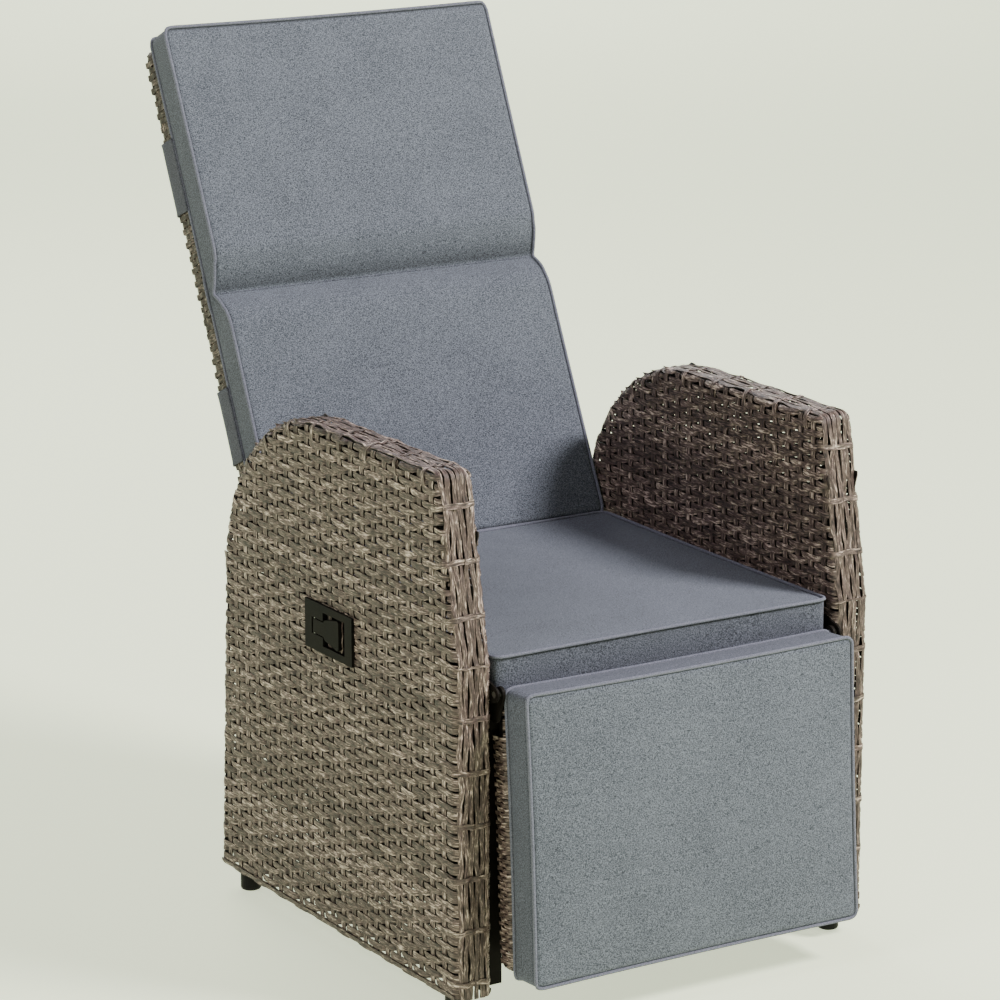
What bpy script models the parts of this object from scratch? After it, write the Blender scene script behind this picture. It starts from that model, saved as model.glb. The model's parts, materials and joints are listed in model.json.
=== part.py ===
"""Reclining garden lounger in poly-rattan: two woven side panels, a seat between them, a back that
reclines and a footrest that swings up with it.

Z is up, the floor is at z = 0, the chair faces -Y and +X is to the right seen from the front.
Lengths are in metres. Profiles of the sides are (y, z) points, extruded along X.
"""
import bpy
import bmesh
from math import atan2, cos, radians, sin, tan, tau
from mathutils import Matrix, Vector

# Clearances
TOUCH = 0.0003            # gap between pieces that touch
RUNNING = 0.0004          # radial gap of a pin in a moving piece
OPEN_PIVOT = 0.0024       # play along the link where its closed loop is opened
OPEN_SLOT = 0.0046        # play across the link at the same place, so its hole is a slot

# Side panels
WIDTH = 0.600             # over the outer faces
PANEL = 0.050             # thickness of a side panel
SKIN = 0.005              # woven skin of a side panel
BAND = 0.006              # woven band round a side panel's edge
FRONT_Y = -0.297          # front edge below the knee
REAR_Y = 0.2965           # rear edge at the bottom
ARM_Z = 0.672             # top of the arms
WICKER_Z = 0.030          # lower edge of the weave
FRONT_LEAN = 0.042        # the arm's front end sits this far behind the knee
REAR_LEAN = radians(3.1)  # lean of the rear edge
REAR_CORNER = 0.240       # radius of the arm's rear corner
FRONT_CORNER = 0.012      # radius of the arm's front corner
KNEE_BEND = 0.030         # radius of the bend at the knee
TUBE_BEND = 0.025         # least bend of a frame tube
TUBE = 0.011              # radius of every frame tube
FOOT_RADIUS = 0.0135
FOOT_Y = 0.258            # feet in front of and behind the panel's middle

# Seat
SEAT_TOP = 0.449          # top of the seat cushion
KNEE_Z = SEAT_TOP - 0.004  # where the side's front edge starts to lean back
CUSHION = 0.050           # thickness of the seat cushion
CUSHION_EDGE = 0.007      # bevel of every cushion's edges
SEAT_CUSHION_GAP = 0.0085  # beside the cushion, to the side panel
SEAT_CUSHION_FRONT = -0.291
SEAT_CUSHION_REAR = 0.212
DECK = 0.007              # woven deck under the seat cushion
DECK_REAR = 0.203
RAIL_W = 0.020            # seat rail, across
RAIL_H = 0.030            # seat rail, upright
CROSS_H = 0.016           # cross rails of the seat
BOLT = 0.004              # radius of the seat bolts
LEG_W = 0.031             # front legs of the seat frame, across
LEG_T = 0.020
LEG_FRONT = -0.268

# Back
BACK_ANGLE = radians(25.0)     # from upright, in the most upright position
BACK_LENGTH = 0.714            # cushion, along the back
BACK_CUSHION = 0.047
BACK_CUSHION_GAP = 0.004       # beside the cushion, to the side panel
BACK_PANEL = 0.032             # woven panel behind the cushion
BACK_PANEL_GAP = 0.009         # beside the panel, to the side panel
BACK_WRAP = 0.0035             # woven edge of the panel
BACK_PANEL_START = 0.012       # lower edge of the woven panel, above the seat line
BACK_PANEL_END = 0.704
PIVOT_DROP = 0.050             # the pivot sits this far below the seat line
LOWER_RAIL_DROP = 0.018        # the lower rail sits this far below the woven panel
PIVOT_BOLT = 0.006
STRAPS = (0.192, 0.5285)       # middle of each strap, along the back
STRAP_WIDTH = 0.098
STRAP_T = 0.0016

# Footrest
FOOT_ANGLE = radians(3.6)      # the lower edge stands forward by this angle
FOOT_TOP_Y = -0.351            # front face of the cushion, upper edge
FOOT_TOP_DROP = 0.032          # the same edge, below the seat cushion's top
FOOT_LENGTH = 0.361
FOOT_CUSHION = 0.049
FOOT_GAP = 0.013               # beside the footrest, to the side panel
FOOT_PANEL = 0.030
FOOT_WRAP = 0.0025             # woven edge of the panel
FOOT_PANEL_START = 0.020       # upper edge of the woven panel, down the footrest
FOOT_PANEL_END = 0.352
FOOT_FRAME_BENDS = (0.018, 0.018, 0.030, 0.030)   # frame corners, upper two first
HINGE_Y = -0.300
HINGE_DROP = 0.042             # hinge below the seat cushion's top
HINGE_PIN = 0.004
HINGE_RUN = 0.062              # upper stretch of the footrest left free for its hinge pieces
EAR = 0.009                    # radius of the ends of ears and of the footrest's levers

# Linkage under the seat
LEVER = 0.100                  # back pivot to link pin
LEVER_ANGLE = radians(20.0)    # behind straight down, at rest
FOOT_LEVER = 0.0556            # footrest hinge to link pin
FOOT_LEVER_ANGLE = radians(38.0)
LINK_W = 0.018
LINK_END = 0.012               # radius of the link's slotted front end
LINK_T = 0.0045
LINK_PIN = 0.004
PLATE = 0.004                  # lever and ear plates
GAS_LEVER = 0.060              # back pivot to the gas spring's rear pin
GAS_FRONT_Y = -0.055           # gas spring's front pin
GAS_RADIUS = 0.012
GAS_BORE = 0.0084
GAS_ROD = 0.004
GAS_PIN = 0.004
GAS_FREE = 0.052               # rod left out between its head and the cylinder
GAS_INSIDE = 0.050             # rod inside the cylinder at rest
GAS_BORE_DEPTH = 0.102

# Release handle on the left side
BEZEL_Y = (-0.0605, 0.0550)
BEZEL_Z = (SEAT_TOP - 0.062, SEAT_TOP)
BEZEL_T = 0.004
HOUSING_DEPTH = 0.030
HOUSING_MARGIN = 0.008         # the bezel stands out round the housing by this much
PADDLE_AXIS_Y = 0.0340
PADDLE_NECK_Y = 0.0090
PADDLE_FRONT_Y = -0.0280
PADDLE_NECK = 0.018
PADDLE_HEAD = 0.040
PADDLE_T = 0.005
PADDLE_GAP = 0.0015
FINGER_SLOT = 0.015
PADDLE_PIN = 0.0015
CABLE = 0.0025
CABLE_GAP = 0.002              # round the cable where it passes through the weave

OUTER_X = WIDTH / 2
INNER_X = OUTER_X - PANEL
MID_X = OUTER_X - PANEL / 2
FOOT_X = MID_X + 0.002
SIDES = (("left", -1), ("right", 1))
UP = Vector((sin(BACK_ANGLE), cos(BACK_ANGLE)))           # up the back, as (y, z)
BEHIND = Vector((cos(BACK_ANGLE), -sin(BACK_ANGLE)))      # away from the sitter
SEAT_LINE = Vector((0.217, SEAT_TOP))                     # foot of the back cushion's front face
BACK_MID = BACK_CUSHION + BACK_PANEL / 2
PIVOT = SEAT_LINE - UP * PIVOT_DROP + BEHIND * BACK_MID
DOWN = Vector((-sin(FOOT_ANGLE), -cos(FOOT_ANGLE)))       # down the footrest
INWARD = Vector((cos(FOOT_ANGLE), -sin(FOOT_ANGLE)))      # from its face towards the chair
FOOT_TOP = Vector((FOOT_TOP_Y, SEAT_TOP - FOOT_TOP_DROP))
FOOT_MID = FOOT_CUSHION + FOOT_PANEL / 2
DECK_FRONT = FOOT_TOP_Y + FOOT_MID + TUBE + 0.004         # leaves room for the footrest's hinges
HINGE = Vector((HINGE_Y, SEAT_TOP - HINGE_DROP))
LINK_REAR = PIVOT + Vector((sin(LEVER_ANGLE), -cos(LEVER_ANGLE))) * LEVER
LINK_FRONT = HINGE + Vector((sin(FOOT_LEVER_ANGLE), -cos(FOOT_LEVER_ANGLE))) * FOOT_LEVER
GAS_REAR = PIVOT + Vector((sin(LEVER_ANGLE), -cos(LEVER_ANGLE))) * GAS_LEVER
GAS_FRONT = Vector((GAS_FRONT_Y, GAS_REAR.y))
DECK_TOP = SEAT_TOP - CUSHION - TOUCH
RAIL_TOP = DECK_TOP - DECK - TOUCH
RAIL_MID = RAIL_TOP - RAIL_H / 2
BOLT_Y = (-0.215, 0.160)
BACK_TUBE_X = INNER_X - BACK_PANEL_GAP - BACK_WRAP - TOUCH - TUBE
LEVER_X = BACK_TUBE_X - TUBE - TOUCH   # outer face of the lever plates
LINK_X = LEVER_X - PLATE - TOUCH   # outer face of the link bars


# Helpers

def clear_scene():
    for old in list(bpy.data.objects):
        bpy.data.objects.remove(old)


def material(name, colour, roughness, metallic=0.0):
    made = bpy.data.materials.new(name)
    made.use_nodes = True
    shader = made.node_tree.nodes["Principled BSDF"]
    shader.inputs["Base Color"].default_value = (*colour, 1.0)
    shader.inputs["Roughness"].default_value = roughness
    shader.inputs["Metallic"].default_value = metallic
    return made


def add(name, bm, look, origin=None):
    """Turn a bmesh into an object. origin is the (y, z) of the X axis that it turns on."""
    bmesh.ops.recalc_face_normals(bm, faces=bm.faces)
    mesh = bpy.data.meshes.new(name)
    at = Vector((0, origin[0], origin[1])) if origin else Vector()
    bmesh.ops.translate(bm, verts=bm.verts, vec=-at)
    bm.to_mesh(mesh)
    bm.free()
    mesh.materials.append(look)
    made = bpy.data.objects.new(name, mesh)
    made.location = at
    bpy.context.collection.objects.link(made)
    return made


def smooth(made, angle=35):
    made.data.shade_smooth()
    made.data.set_sharp_from_angle(angle=radians(angle))
    return made


def boolean(made, other, operation="DIFFERENCE"):
    """Cut or join a helper object, which stays hidden."""
    other.hide_render = True
    other.display_type = "WIRE"
    modifier = made.modifiers.new(operation.lower(), "BOOLEAN")
    modifier.object = other
    modifier.operation = operation
    modifier.solver = "EXACT"


def bevel(made, width, segments=2):
    modifier = made.modifiers.new("bevel", "BEVEL")
    modifier.width = width
    modifier.segments = segments
    modifier.limit_method = "ANGLE"
    modifier.angle_limit = radians(40)


def box(low, high):
    bm = bmesh.new()
    bmesh.ops.create_cube(bm, size=1.0)
    size = [b - a for a, b in zip(low, high)]
    middle = [(a + b) / 2 for a, b in zip(low, high)]
    bmesh.ops.scale(bm, verts=bm.verts, vec=size)
    bmesh.ops.translate(bm, verts=bm.verts, vec=middle)
    return bm


def slab(outline, x0, x1):
    """A (y, z) outline given thickness from x0 to x1."""
    bm = bmesh.new()
    face = bm.faces.new([bm.verts.new((x0, y, z)) for y, z in outline])
    out = bmesh.ops.extrude_face_region(bm, geom=[face])["geom"]
    moved = [v for v in out if isinstance(v, bmesh.types.BMVert)]
    bmesh.ops.translate(bm, verts=moved, vec=(x1 - x0, 0, 0))
    return bm


def rod(start, end, radius, segments=20):
    """A round bar between two points."""
    start, end = Vector(start), Vector(end)
    bm = bmesh.new()
    bmesh.ops.create_cone(bm, cap_ends=True, segments=segments, radius1=radius, radius2=radius,
                          depth=(end - start).length)
    turn = (end - start).to_track_quat("Z", "Y").to_matrix().to_4x4()
    bmesh.ops.transform(bm, matrix=Matrix.Translation((start + end) / 2) @ turn, verts=bm.verts)
    return bm


def x_rod(at, x0, x1, radius, segments=20):
    """A round bar along X through the (y, z) point at."""
    return rod((x0, at[0], at[1]), (x1, at[0], at[1]), radius, segments)


def turned(profile, middle, segments=24):
    """Stack rings of (radius, z) about a vertical axis at middle."""
    bm = bmesh.new()
    rings = []
    for radius, z in profile:
        ring = bmesh.ops.create_circle(bm, radius=radius, segments=segments, cap_ends=False,
                                       matrix=Matrix.Translation((middle[0], middle[1], z)))
        rings.append(ring["verts"])
    for low, high in zip(rings, rings[1:]):
        for i in range(segments):
            j = (i + 1) % segments
            bm.faces.new((low[i], low[j], high[j], high[i]))
    bm.faces.new(rings[0])
    bm.faces.new(rings[-1])
    return bm


def arc(centre, radius, start, end, steps):
    angles = [start + (end - start) * i / steps for i in range(steps + 1)]
    return [(centre[0] + radius * cos(a), centre[1] + radius * sin(a)) for a in angles]


def rounded(points, radii, steps=5):
    """A closed convex outline whose corners are rounded with the given radii."""
    out = []
    count = len(points)
    for i, (point, radius) in enumerate(zip(points, radii)):
        here = Vector(point)
        to_last = (Vector(points[i - 1]) - here).normalized()
        to_next = (Vector(points[(i + 1) % count]) - here).normalized()
        half = to_last.angle(to_next) / 2
        if radius == 0:
            out.append(here)
            continue
        centre = here + (to_last + to_next).normalized() * radius / sin(half)
        first = here + to_last * radius / tan(half) - centre
        last = here + to_next * radius / tan(half) - centre
        start = atan2(first.y, first.x)
        turn = (atan2(last.y, last.x) - start + tau / 2) % tau - tau / 2
        out += [Vector(p) for p in arc(centre, radius, start, start + turn, steps)]
    return out


def inset(points, distance):
    """Move a closed counter-clockwise outline inward."""
    out = []
    count = len(points)
    for i in range(count):
        here = Vector(points[i])
        before = (here - Vector(points[i - 1])).normalized()
        after = (Vector(points[(i + 1) % count]) - here).normalized()
        normal = (Vector((-before.y, before.x)) + Vector((-after.y, after.x))).normalized()
        out.append(here + normal * distance / normal.dot(Vector((-before.y, before.x))))
    return out


def capsule(a, b, radius_a, radius_b, steps=8):
    """Outline of two discs and the straight edges between them."""
    a, b = Vector(a), Vector(b)
    along = atan2(b.y - a.y, b.x - a.x)
    lean = atan2(radius_a - radius_b, (b - a).length)
    first = arc(a, radius_a, along + tau / 4 - lean, along + 3 * tau / 4 + lean, steps)
    last = arc(b, radius_b, along - tau / 4 + lean, along + tau / 4 - lean, steps)
    return first + last


def swept(points, radius, look, name, cyclic=False, resolution=4):
    """A round tube along 3-D points, as a mesh object."""
    curve = bpy.data.curves.new(name, "CURVE")
    curve.dimensions = "3D"
    curve.bevel_depth = radius
    curve.bevel_resolution = resolution
    curve.use_fill_caps = True
    spline = curve.splines.new("POLY")
    spline.points.add(len(points) - 1)
    for target, point in zip(spline.points, points):
        target.co = (*point, 1)
    spline.use_cyclic_u = cyclic
    curve.materials.append(look)
    made = bpy.data.objects.new(name, curve)
    bpy.context.collection.objects.link(made)
    return made


def as_mesh(made):
    """Replace a curve object by its mesh, so that a Boolean can use it."""
    name = made.name
    mesh = bpy.data.meshes.new_from_object(made.evaluated_get(bpy.context.evaluated_depsgraph_get()))
    bpy.data.objects.remove(made)
    mesh.name = name
    made = bpy.data.objects.new(name, mesh)
    bpy.context.collection.objects.link(made)
    return made


def on_back(along, depth):
    """(y, z) of a point up the back from the seat line and behind the cushion's front face."""
    return SEAT_LINE + UP * along + BEHIND * depth


def on_footrest(along, depth):
    """(y, z) of a point down the footrest and behind its cushion's front face."""
    return FOOT_TOP + DOWN * along + INWARD * depth


def tilted(place, along, depth):
    """Outline of a slab that lies along the back or the footrest."""
    (a0, a1), (d0, d1) = along, depth
    return [place(a0, d0), place(a0, d1), place(a1, d1), place(a1, d0)]


# Side panels

def side_outline(bottom=WICKER_Z, inward=0.0, bend=0.0):
    """Outline of a side panel, counter-clockwise seen from +X, optionally moved inward.

    bottom is the height that it reaches down to, bend the least radius of its corners.
    """
    rear = {z: REAR_Y - (z - WICKER_Z) * tan(REAR_LEAN) for z in (bottom, ARM_Z)}
    corners = [(FRONT_Y, bottom), (rear[bottom], bottom), (rear[ARM_Z], ARM_Z),
               (FRONT_Y + FRONT_LEAN, ARM_Z), (FRONT_Y, KNEE_Z)]
    radii = (bend, bend, REAR_CORNER - inward, max(FRONT_CORNER - inward, bend), KNEE_BEND)
    return rounded(inset([Vector(c) for c in corners], inward), radii, steps=12)


def side_panel(side, sign, looks):
    outline = side_outline()
    inner = side_outline(inward=BAND + TOUCH)
    skins = {"outer": (OUTER_X - SKIN, OUTER_X), "inner": (INNER_X, INNER_X + SKIN)}
    made = {}
    for name, (x0, x1) in skins.items():
        made[name] = add(f"{name}_weave_{side}", slab(inner, sign * x0, sign * x1), looks["wicker"])
    band = add(f"edge_band_{side}", slab(outline, sign * INNER_X, sign * OUTER_X), looks["wicker"])
    hollow = side_outline(WICKER_Z - 3 * BAND, BAND)
    boolean(band, add(f"cut_band_{side}", slab(hollow, sign * (INNER_X - 0.01), sign * (OUTER_X + 0.01)),
                      looks["wicker"]))
    path = side_outline(inward=BAND + TOUCH + TUBE, bend=TUBE_BEND)
    frame = swept([(sign * MID_X, y, z) for y, z in path], TUBE, looks["steel"], f"side_frame_{side}",
                  cyclic=True)
    frame = as_mesh(frame)
    rail_end = REAR_Y - (RAIL_TOP - WICKER_Z) * tan(REAR_LEAN) - 0.0117
    rail = box((sign * MID_X - 0.0097, FRONT_Y + 0.0153, RAIL_MID - RAIL_H / 2),
               (sign * MID_X + 0.0097, rail_end, RAIL_MID + RAIL_H / 2))
    boolean(frame, add(f"join_rail_{side}", rail, looks["steel"]), "UNION")
    made["frame"] = frame
    tube_bottom = WICKER_Z + BAND + TOUCH
    glide = ((FOOT_RADIUS - 0.003, 0), (FOOT_RADIUS - 0.001, 0.001), (FOOT_RADIUS, 0.003),
             (FOOT_RADIUS, tube_bottom - TOUCH))
    for end, y in (("front", -FOOT_Y), ("rear", FOOT_Y)):
        smooth(add(f"foot_{end}_{side}", turned(glide, (sign * FOOT_X, y)), looks["plastic"]))
    return made


# Seat

def seat(side_pieces, looks):
    for side, sign in SIDES:
        outer = INNER_X - TOUCH
        rail = box((sign * (outer - RAIL_W), DECK_FRONT + 0.017, RAIL_TOP - RAIL_H),
                   (sign * outer, DECK_REAR - 0.003, RAIL_TOP))
        rail = add(f"seat_rail_{side}", rail, looks["steel"])
        leg = box((sign * (outer - LEG_W), LEG_FRONT, WICKER_Z),
                  (sign * (outer - TOUCH), LEG_FRONT + LEG_T, RAIL_TOP - RAIL_H + 0.005))
        boolean(rail, add(f"join_leg_{side}", leg, looks["steel"]), "UNION")
        for end, y in zip(("front", "rear"), BOLT_Y):
            head = outer - RAIL_W - TOUCH
            bolt = add(f"seat_bolt_{end}_{side}", x_rod((y, RAIL_MID), sign * (head - 0.005), sign * head,
                                                       BOLT * 1.8, 6), looks["bolt"])
            shank = x_rod((y, RAIL_MID), sign * (head - 0.002), sign * (MID_X + 0.004), BOLT)
            boolean(bolt, add(f"join_bolt_{end}_{side}", shank, looks["bolt"]), "UNION")
            hole = add(f"cut_bolt_{end}_{side}", x_rod((y, RAIL_MID), sign * (head - 0.01),
                                                      sign * (MID_X + 0.005), BOLT + TOUCH), looks["bolt"])
            for piece in (rail, side_pieces[side]["inner"], side_pieces[side]["frame"]):
                boolean(piece, hole)
    span = INNER_X - 2 * TOUCH - RAIL_W
    for name, y in (("seat_front_rail", DECK_FRONT + 0.028), ("seat_rear_rail", DECK_REAR - 0.023)):
        add(name, box((-span, y, RAIL_TOP - CROSS_H), (span, y + RAIL_W, RAIL_TOP)), looks["steel"])
    deck = INNER_X - 0.0045
    add("seat_weave", box((-deck, DECK_FRONT, DECK_TOP - DECK), (deck, DECK_REAR, DECK_TOP)),
        looks["wicker"])
    half = INNER_X - SEAT_CUSHION_GAP
    cushion = add("seat_cushion", box((-half, SEAT_CUSHION_FRONT, SEAT_TOP - CUSHION),
                                      (half, SEAT_CUSHION_REAR, SEAT_TOP)), looks["fabric"])
    bevel(cushion, CUSHION_EDGE)
    ear_round = TUBE + 0.003
    tube_at = (GAS_FRONT_Y, RAIL_TOP - ear_round)
    cross = smooth(add("gas_cross_tube", x_rod(tube_at, -span, span, TUBE), looks["steel"]))
    for sign in (-1, 1):
        ear = capsule(tube_at, GAS_FRONT, ear_round, 0.010)
        boolean(cross, add("join_gas_ear", slab(ear, sign * 0.0125, sign * (0.0125 + PLATE)),
                           looks["steel"]), "UNION")
    boolean(cross, add("cut_gas_ear", x_rod(GAS_FRONT, -0.03, 0.03, GAS_PIN + TOUCH), looks["steel"]))


# Back

def back(side_pieces, looks):
    skin = (BACK_PANEL - 2 * TUBE - 4 * TOUCH) / 2 - 0.0004
    front = BACK_CUSHION + TOUCH
    rear = BACK_CUSHION + BACK_PANEL
    run = (BACK_PANEL_START, BACK_PANEL_END)
    wrap = BACK_WRAP
    half = INNER_X - BACK_PANEL_GAP
    edge = half - wrap - TOUCH
    for name, depth in (("front", (front, front + skin)), ("rear", (rear - skin, rear))):
        outline = tilted(on_back, (run[0], run[1] - wrap - TOUCH), depth)
        add(f"back_weave_{name}", slab(outline, -edge, edge), looks["wicker"], PIVOT)
    band = add("back_edge_wrap", slab(tilted(on_back, run, (front, rear)), -half, half), looks["wicker"],
               PIVOT)
    opening = tilted(on_back, (run[0] - 0.1, run[1] - wrap), (front - 0.01, rear + 0.01))
    boolean(band, add("cut_back_wrap", slab(opening, -half + wrap, half - wrap), looks["wicker"]))
    top = BACK_PANEL_END - wrap - TOUCH - TUBE
    low = BACK_PANEL_START - LOWER_RAIL_DROP
    boss = 0.014
    for side, sign in SIDES:
        start = PIVOT + UP * (boss + TOUCH)
        end = on_back(top + TUBE, BACK_MID)
        smooth(add(f"back_tube_{side}", rod((sign * BACK_TUBE_X, *start), (sign * BACK_TUBE_X, *end), TUBE),
                   looks["steel"], PIVOT))
        plate = slab(capsule(PIVOT, LINK_REAR, 0.016, 0.010), sign * (LEVER_X - PLATE), sign * LEVER_X)
        lever = add(f"back_lever_{side}", plate, looks["steel"], PIVOT)
        hub = x_rod(PIVOT, sign * (LEVER_X - 0.001), sign * (INNER_X - 0.0008), boss, 28)
        boolean(lever, add(f"join_hub_{side}", hub, looks["steel"]), "UNION")
        stud = x_rod(LINK_REAR, sign * (LINK_X - LINK_T - 0.003), sign * (LEVER_X - 0.001), LINK_PIN)
        boolean(lever, add(f"join_stud_{side}", stud, looks["steel"]), "UNION")
        bore = x_rod(PIVOT, sign * (LEVER_X - 0.02), sign * (INNER_X + 0.002), PIVOT_BOLT + RUNNING, 28)
        boolean(lever, add(f"cut_hub_{side}", bore, looks["steel"]))
        head = LEVER_X - PLATE - 0.0006
        bolt = add(f"pivot_bolt_{side}", x_rod(PIVOT, sign * (head - 0.005), sign * head, 0.0105, 6),
                   looks["bolt"])
        shank = x_rod(PIVOT, sign * (head - 0.002), sign * (MID_X + 0.006), PIVOT_BOLT, 28)
        boolean(bolt, add(f"join_pivot_{side}", shank, looks["bolt"]), "UNION")
        hole = add(f"cut_pivot_{side}", x_rod(PIVOT, sign * (INNER_X - 0.01), sign * (MID_X + 0.007),
                                             PIVOT_BOLT + TOUCH, 28), looks["bolt"])
        for piece in (side_pieces[side]["inner"], side_pieces[side]["frame"]):
            boolean(piece, hole)
    span = BACK_TUBE_X - TUBE - TOUCH
    smooth(add("back_top_rail", x_rod(on_back(top, BACK_MID), -span, span, TUBE), looks["steel"], PIVOT))
    rail_at = on_back(low, BACK_MID)
    smooth(add("back_lower_rail", x_rod(rail_at, -span, span, TUBE, 28), looks["steel"], PIVOT))
    gas_lever(rail_at, looks)
    half = INNER_X - BACK_CUSHION_GAP
    outline = tilted(on_back, (0.0035, BACK_LENGTH), (0, BACK_CUSHION))
    cushion = add("back_cushion", slab(outline, -half, half), looks["fabric"], PIVOT)
    bevel(cushion, CUSHION_EDGE)
    strap_x = INNER_X - BACK_PANEL_GAP + TOUCH
    for name, at in zip(("strap_lower", "strap_upper"), STRAPS):
        along = (at - STRAP_WIDTH / 2, at + STRAP_WIDTH / 2)
        outer = tilted(on_back, along, (front, rear + TOUCH + STRAP_T))
        inner = tilted(on_back, (along[0] - 0.01, along[1] + 0.01), (front - 0.01, rear + TOUCH))
        strap = add(name, slab(outer, -strap_x - STRAP_T, strap_x + STRAP_T), looks["fabric"], PIVOT)
        boolean(strap, add(f"cut_{name}", slab(inner, -strap_x, strap_x), looks["fabric"]))


def gas_lever(rail_at, looks):
    """Clevis on the back's lower rail that works the gas spring."""
    ear = capsule(rail_at, GAS_REAR, 0.015, 0.010)
    lever = add("gas_lever", slab(ear, 0.0135, 0.0135 + PLATE), looks["steel"], PIVOT)
    other = slab(ear, -0.0135 - PLATE, -0.0135)
    boolean(lever, add("join_gas_lever", other, looks["steel"]), "UNION")
    sleeve = x_rod(rail_at, -0.0135 - PLATE, 0.0135 + PLATE, 0.015, 28)
    boolean(lever, add("join_gas_sleeve", sleeve, looks["steel"]), "UNION")
    boolean(lever, add("cut_gas_sleeve", x_rod(rail_at, -0.03, 0.03, TUBE + TOUCH, 28), looks["steel"]))
    boolean(lever, add("cut_gas_lever", x_rod(GAS_REAR, -0.03, 0.03, GAS_PIN + TOUCH), looks["steel"]))


# Footrest

def footrest(looks):
    skin = (FOOT_PANEL - 2 * TUBE - 4 * TOUCH) / 2
    front = FOOT_CUSHION + TOUCH
    rear = FOOT_CUSHION + FOOT_PANEL
    wrap = FOOT_WRAP
    half = INNER_X - FOOT_GAP
    edge = half - wrap - TOUCH
    tube_x = edge - TUBE
    ear_x = half + 0.0015
    outline = tilted(on_footrest, (FOOT_PANEL_START, FOOT_PANEL_END - wrap - TOUCH), (front, front + skin))
    add("footrest_weave_front", slab(outline, -edge, edge), looks["wicker"], HINGE)
    outline = tilted(on_footrest, (HINGE_RUN, FOOT_PANEL_END - wrap - TOUCH), (rear - skin, rear))
    add("footrest_weave_rear", slab(outline, -edge, edge), looks["wicker"], HINGE)
    run = (HINGE_RUN, FOOT_PANEL_END)
    band = add("footrest_edge_wrap", slab(tilted(on_footrest, run, (front, rear)), -half, half),
               looks["wicker"], HINGE)
    opening = tilted(on_footrest, (run[0] - 0.01, run[1] - wrap), (front - 0.01, rear + 0.01))
    boolean(band, add("cut_foot_wrap", slab(opening, -half + wrap, half - wrap), looks["wicker"]))
    low = FOOT_PANEL_END - wrap - TOUCH - TUBE
    high = FOOT_PANEL_START + TUBE
    path = [(-tube_x, high), (tube_x, high), (tube_x, low), (-tube_x, low)]
    path = rounded(path, FOOT_FRAME_BENDS, steps=6)
    swept([(x, *on_footrest(along, FOOT_MID)) for x, along in path], TUBE, looks["steel"],
          "footrest_frame", cyclic=True)
    behind_tube = FOOT_MID + TUBE + TOUCH
    outer = (ear_x, ear_x + PLATE - TOUCH)
    inner = (LEVER_X - PLATE, LEVER_X - TOUCH)
    for side, sign in SIDES:
        foot = on_footrest(HINGE_RUN - 0.021, behind_tube + EAR)
        plate = slab(capsule(foot, LINK_FRONT, EAR, EAR), *(sign * x for x in inner))
        hinge = add(f"footrest_hinge_{side}", plate, looks["steel"], HINGE)
        ear = capsule(HINGE, on_footrest(HINGE_RUN - 0.026, FOOT_MID), EAR, EAR)
        strap = tilted(on_footrest, (FOOT_PANEL_START, HINGE_RUN - 0.006),
                       (behind_tube, behind_tube + 0.003))
        lug = tilted(on_footrest, (FOOT_PANEL_START + 0.002, HINGE_RUN - 0.018),
                     (FOOT_MID, behind_tube + 0.002))
        for name, shape, (x0, x1) in (("ear", ear, outer), ("bridge", strap, (inner[0], outer[1])),
                                      ("lug", lug, outer)):
            part = add(f"join_{name}_{side}", slab(shape, sign * x0, sign * x1), looks["steel"])
            boolean(hinge, part, "UNION")
        stud = x_rod(LINK_FRONT, sign * (LINK_X - LINK_T - 0.003), sign * (LEVER_X - 0.001), LINK_PIN)
        boolean(hinge, add(f"join_stud_front_{side}", stud, looks["steel"]), "UNION")
        bore = x_rod(HINGE, sign * (ear_x - 0.002), sign * (ear_x + 0.01), HINGE_PIN + RUNNING)
        boolean(hinge, add(f"cut_ear_{side}", bore, looks["steel"]))
        hinge_bracket(side, sign, ear_x, looks)
    outline = tilted(on_footrest, (0, FOOT_LENGTH), (0, FOOT_CUSHION))
    cushion = add("footrest_cushion", slab(outline, -half, half), looks["fabric"], HINGE)
    bevel(cushion, CUSHION_EDGE)


def hinge_bracket(side, sign, ear_x, looks):
    """Plate on the side panel's inner face that carries the footrest's hinge pin in front of it."""
    thick = 0.0027
    outer = INNER_X - TOUCH
    leaf = capsule(HINGE, (FRONT_Y + 0.025, HINGE.y), 0.010, 0.017)
    bracket = add(f"hinge_bracket_{side}", slab(leaf, sign * (outer - thick), sign * outer), looks["steel"])
    pin = x_rod(HINGE, sign * (ear_x - 0.0009), sign * (outer - 0.0002), HINGE_PIN)
    add(f"footrest_pin_{side}", pin, looks["bolt"])
    hole = x_rod(HINGE, sign * (outer - 0.01), sign * (outer + 0.01), HINGE_PIN + TOUCH)
    boolean(bracket, add(f"cut_bracket_{side}", hole, looks["steel"]))


# Links and gas spring

def links(looks):
    for side, sign in SIDES:
        bar = slab(capsule(LINK_FRONT, LINK_REAR, LINK_END, LINK_W / 2), sign * (LINK_X - LINK_T),
                   sign * LINK_X)
        bar = add(f"link_bar_{side}", bar, looks["steel"], LINK_REAR)
        hole = x_rod(LINK_REAR, sign * (LINK_X - 0.02), sign * (LINK_X + 0.01), LINK_PIN + RUNNING)
        boolean(bar, add(f"cut_link_rear_{side}", hole, looks["steel"]))
        across = (LINK_REAR - LINK_FRONT).normalized().orthogonal() * (OPEN_SLOT - OPEN_PIVOT)
        slot = capsule(LINK_FRONT - across, LINK_FRONT + across, *(LINK_PIN + OPEN_PIVOT,) * 2)
        slot = slab(slot, sign * (LINK_X - 0.02), sign * (LINK_X + 0.01))
        boolean(bar, add(f"cut_link_front_{side}", slot, looks["steel"]))


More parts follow.
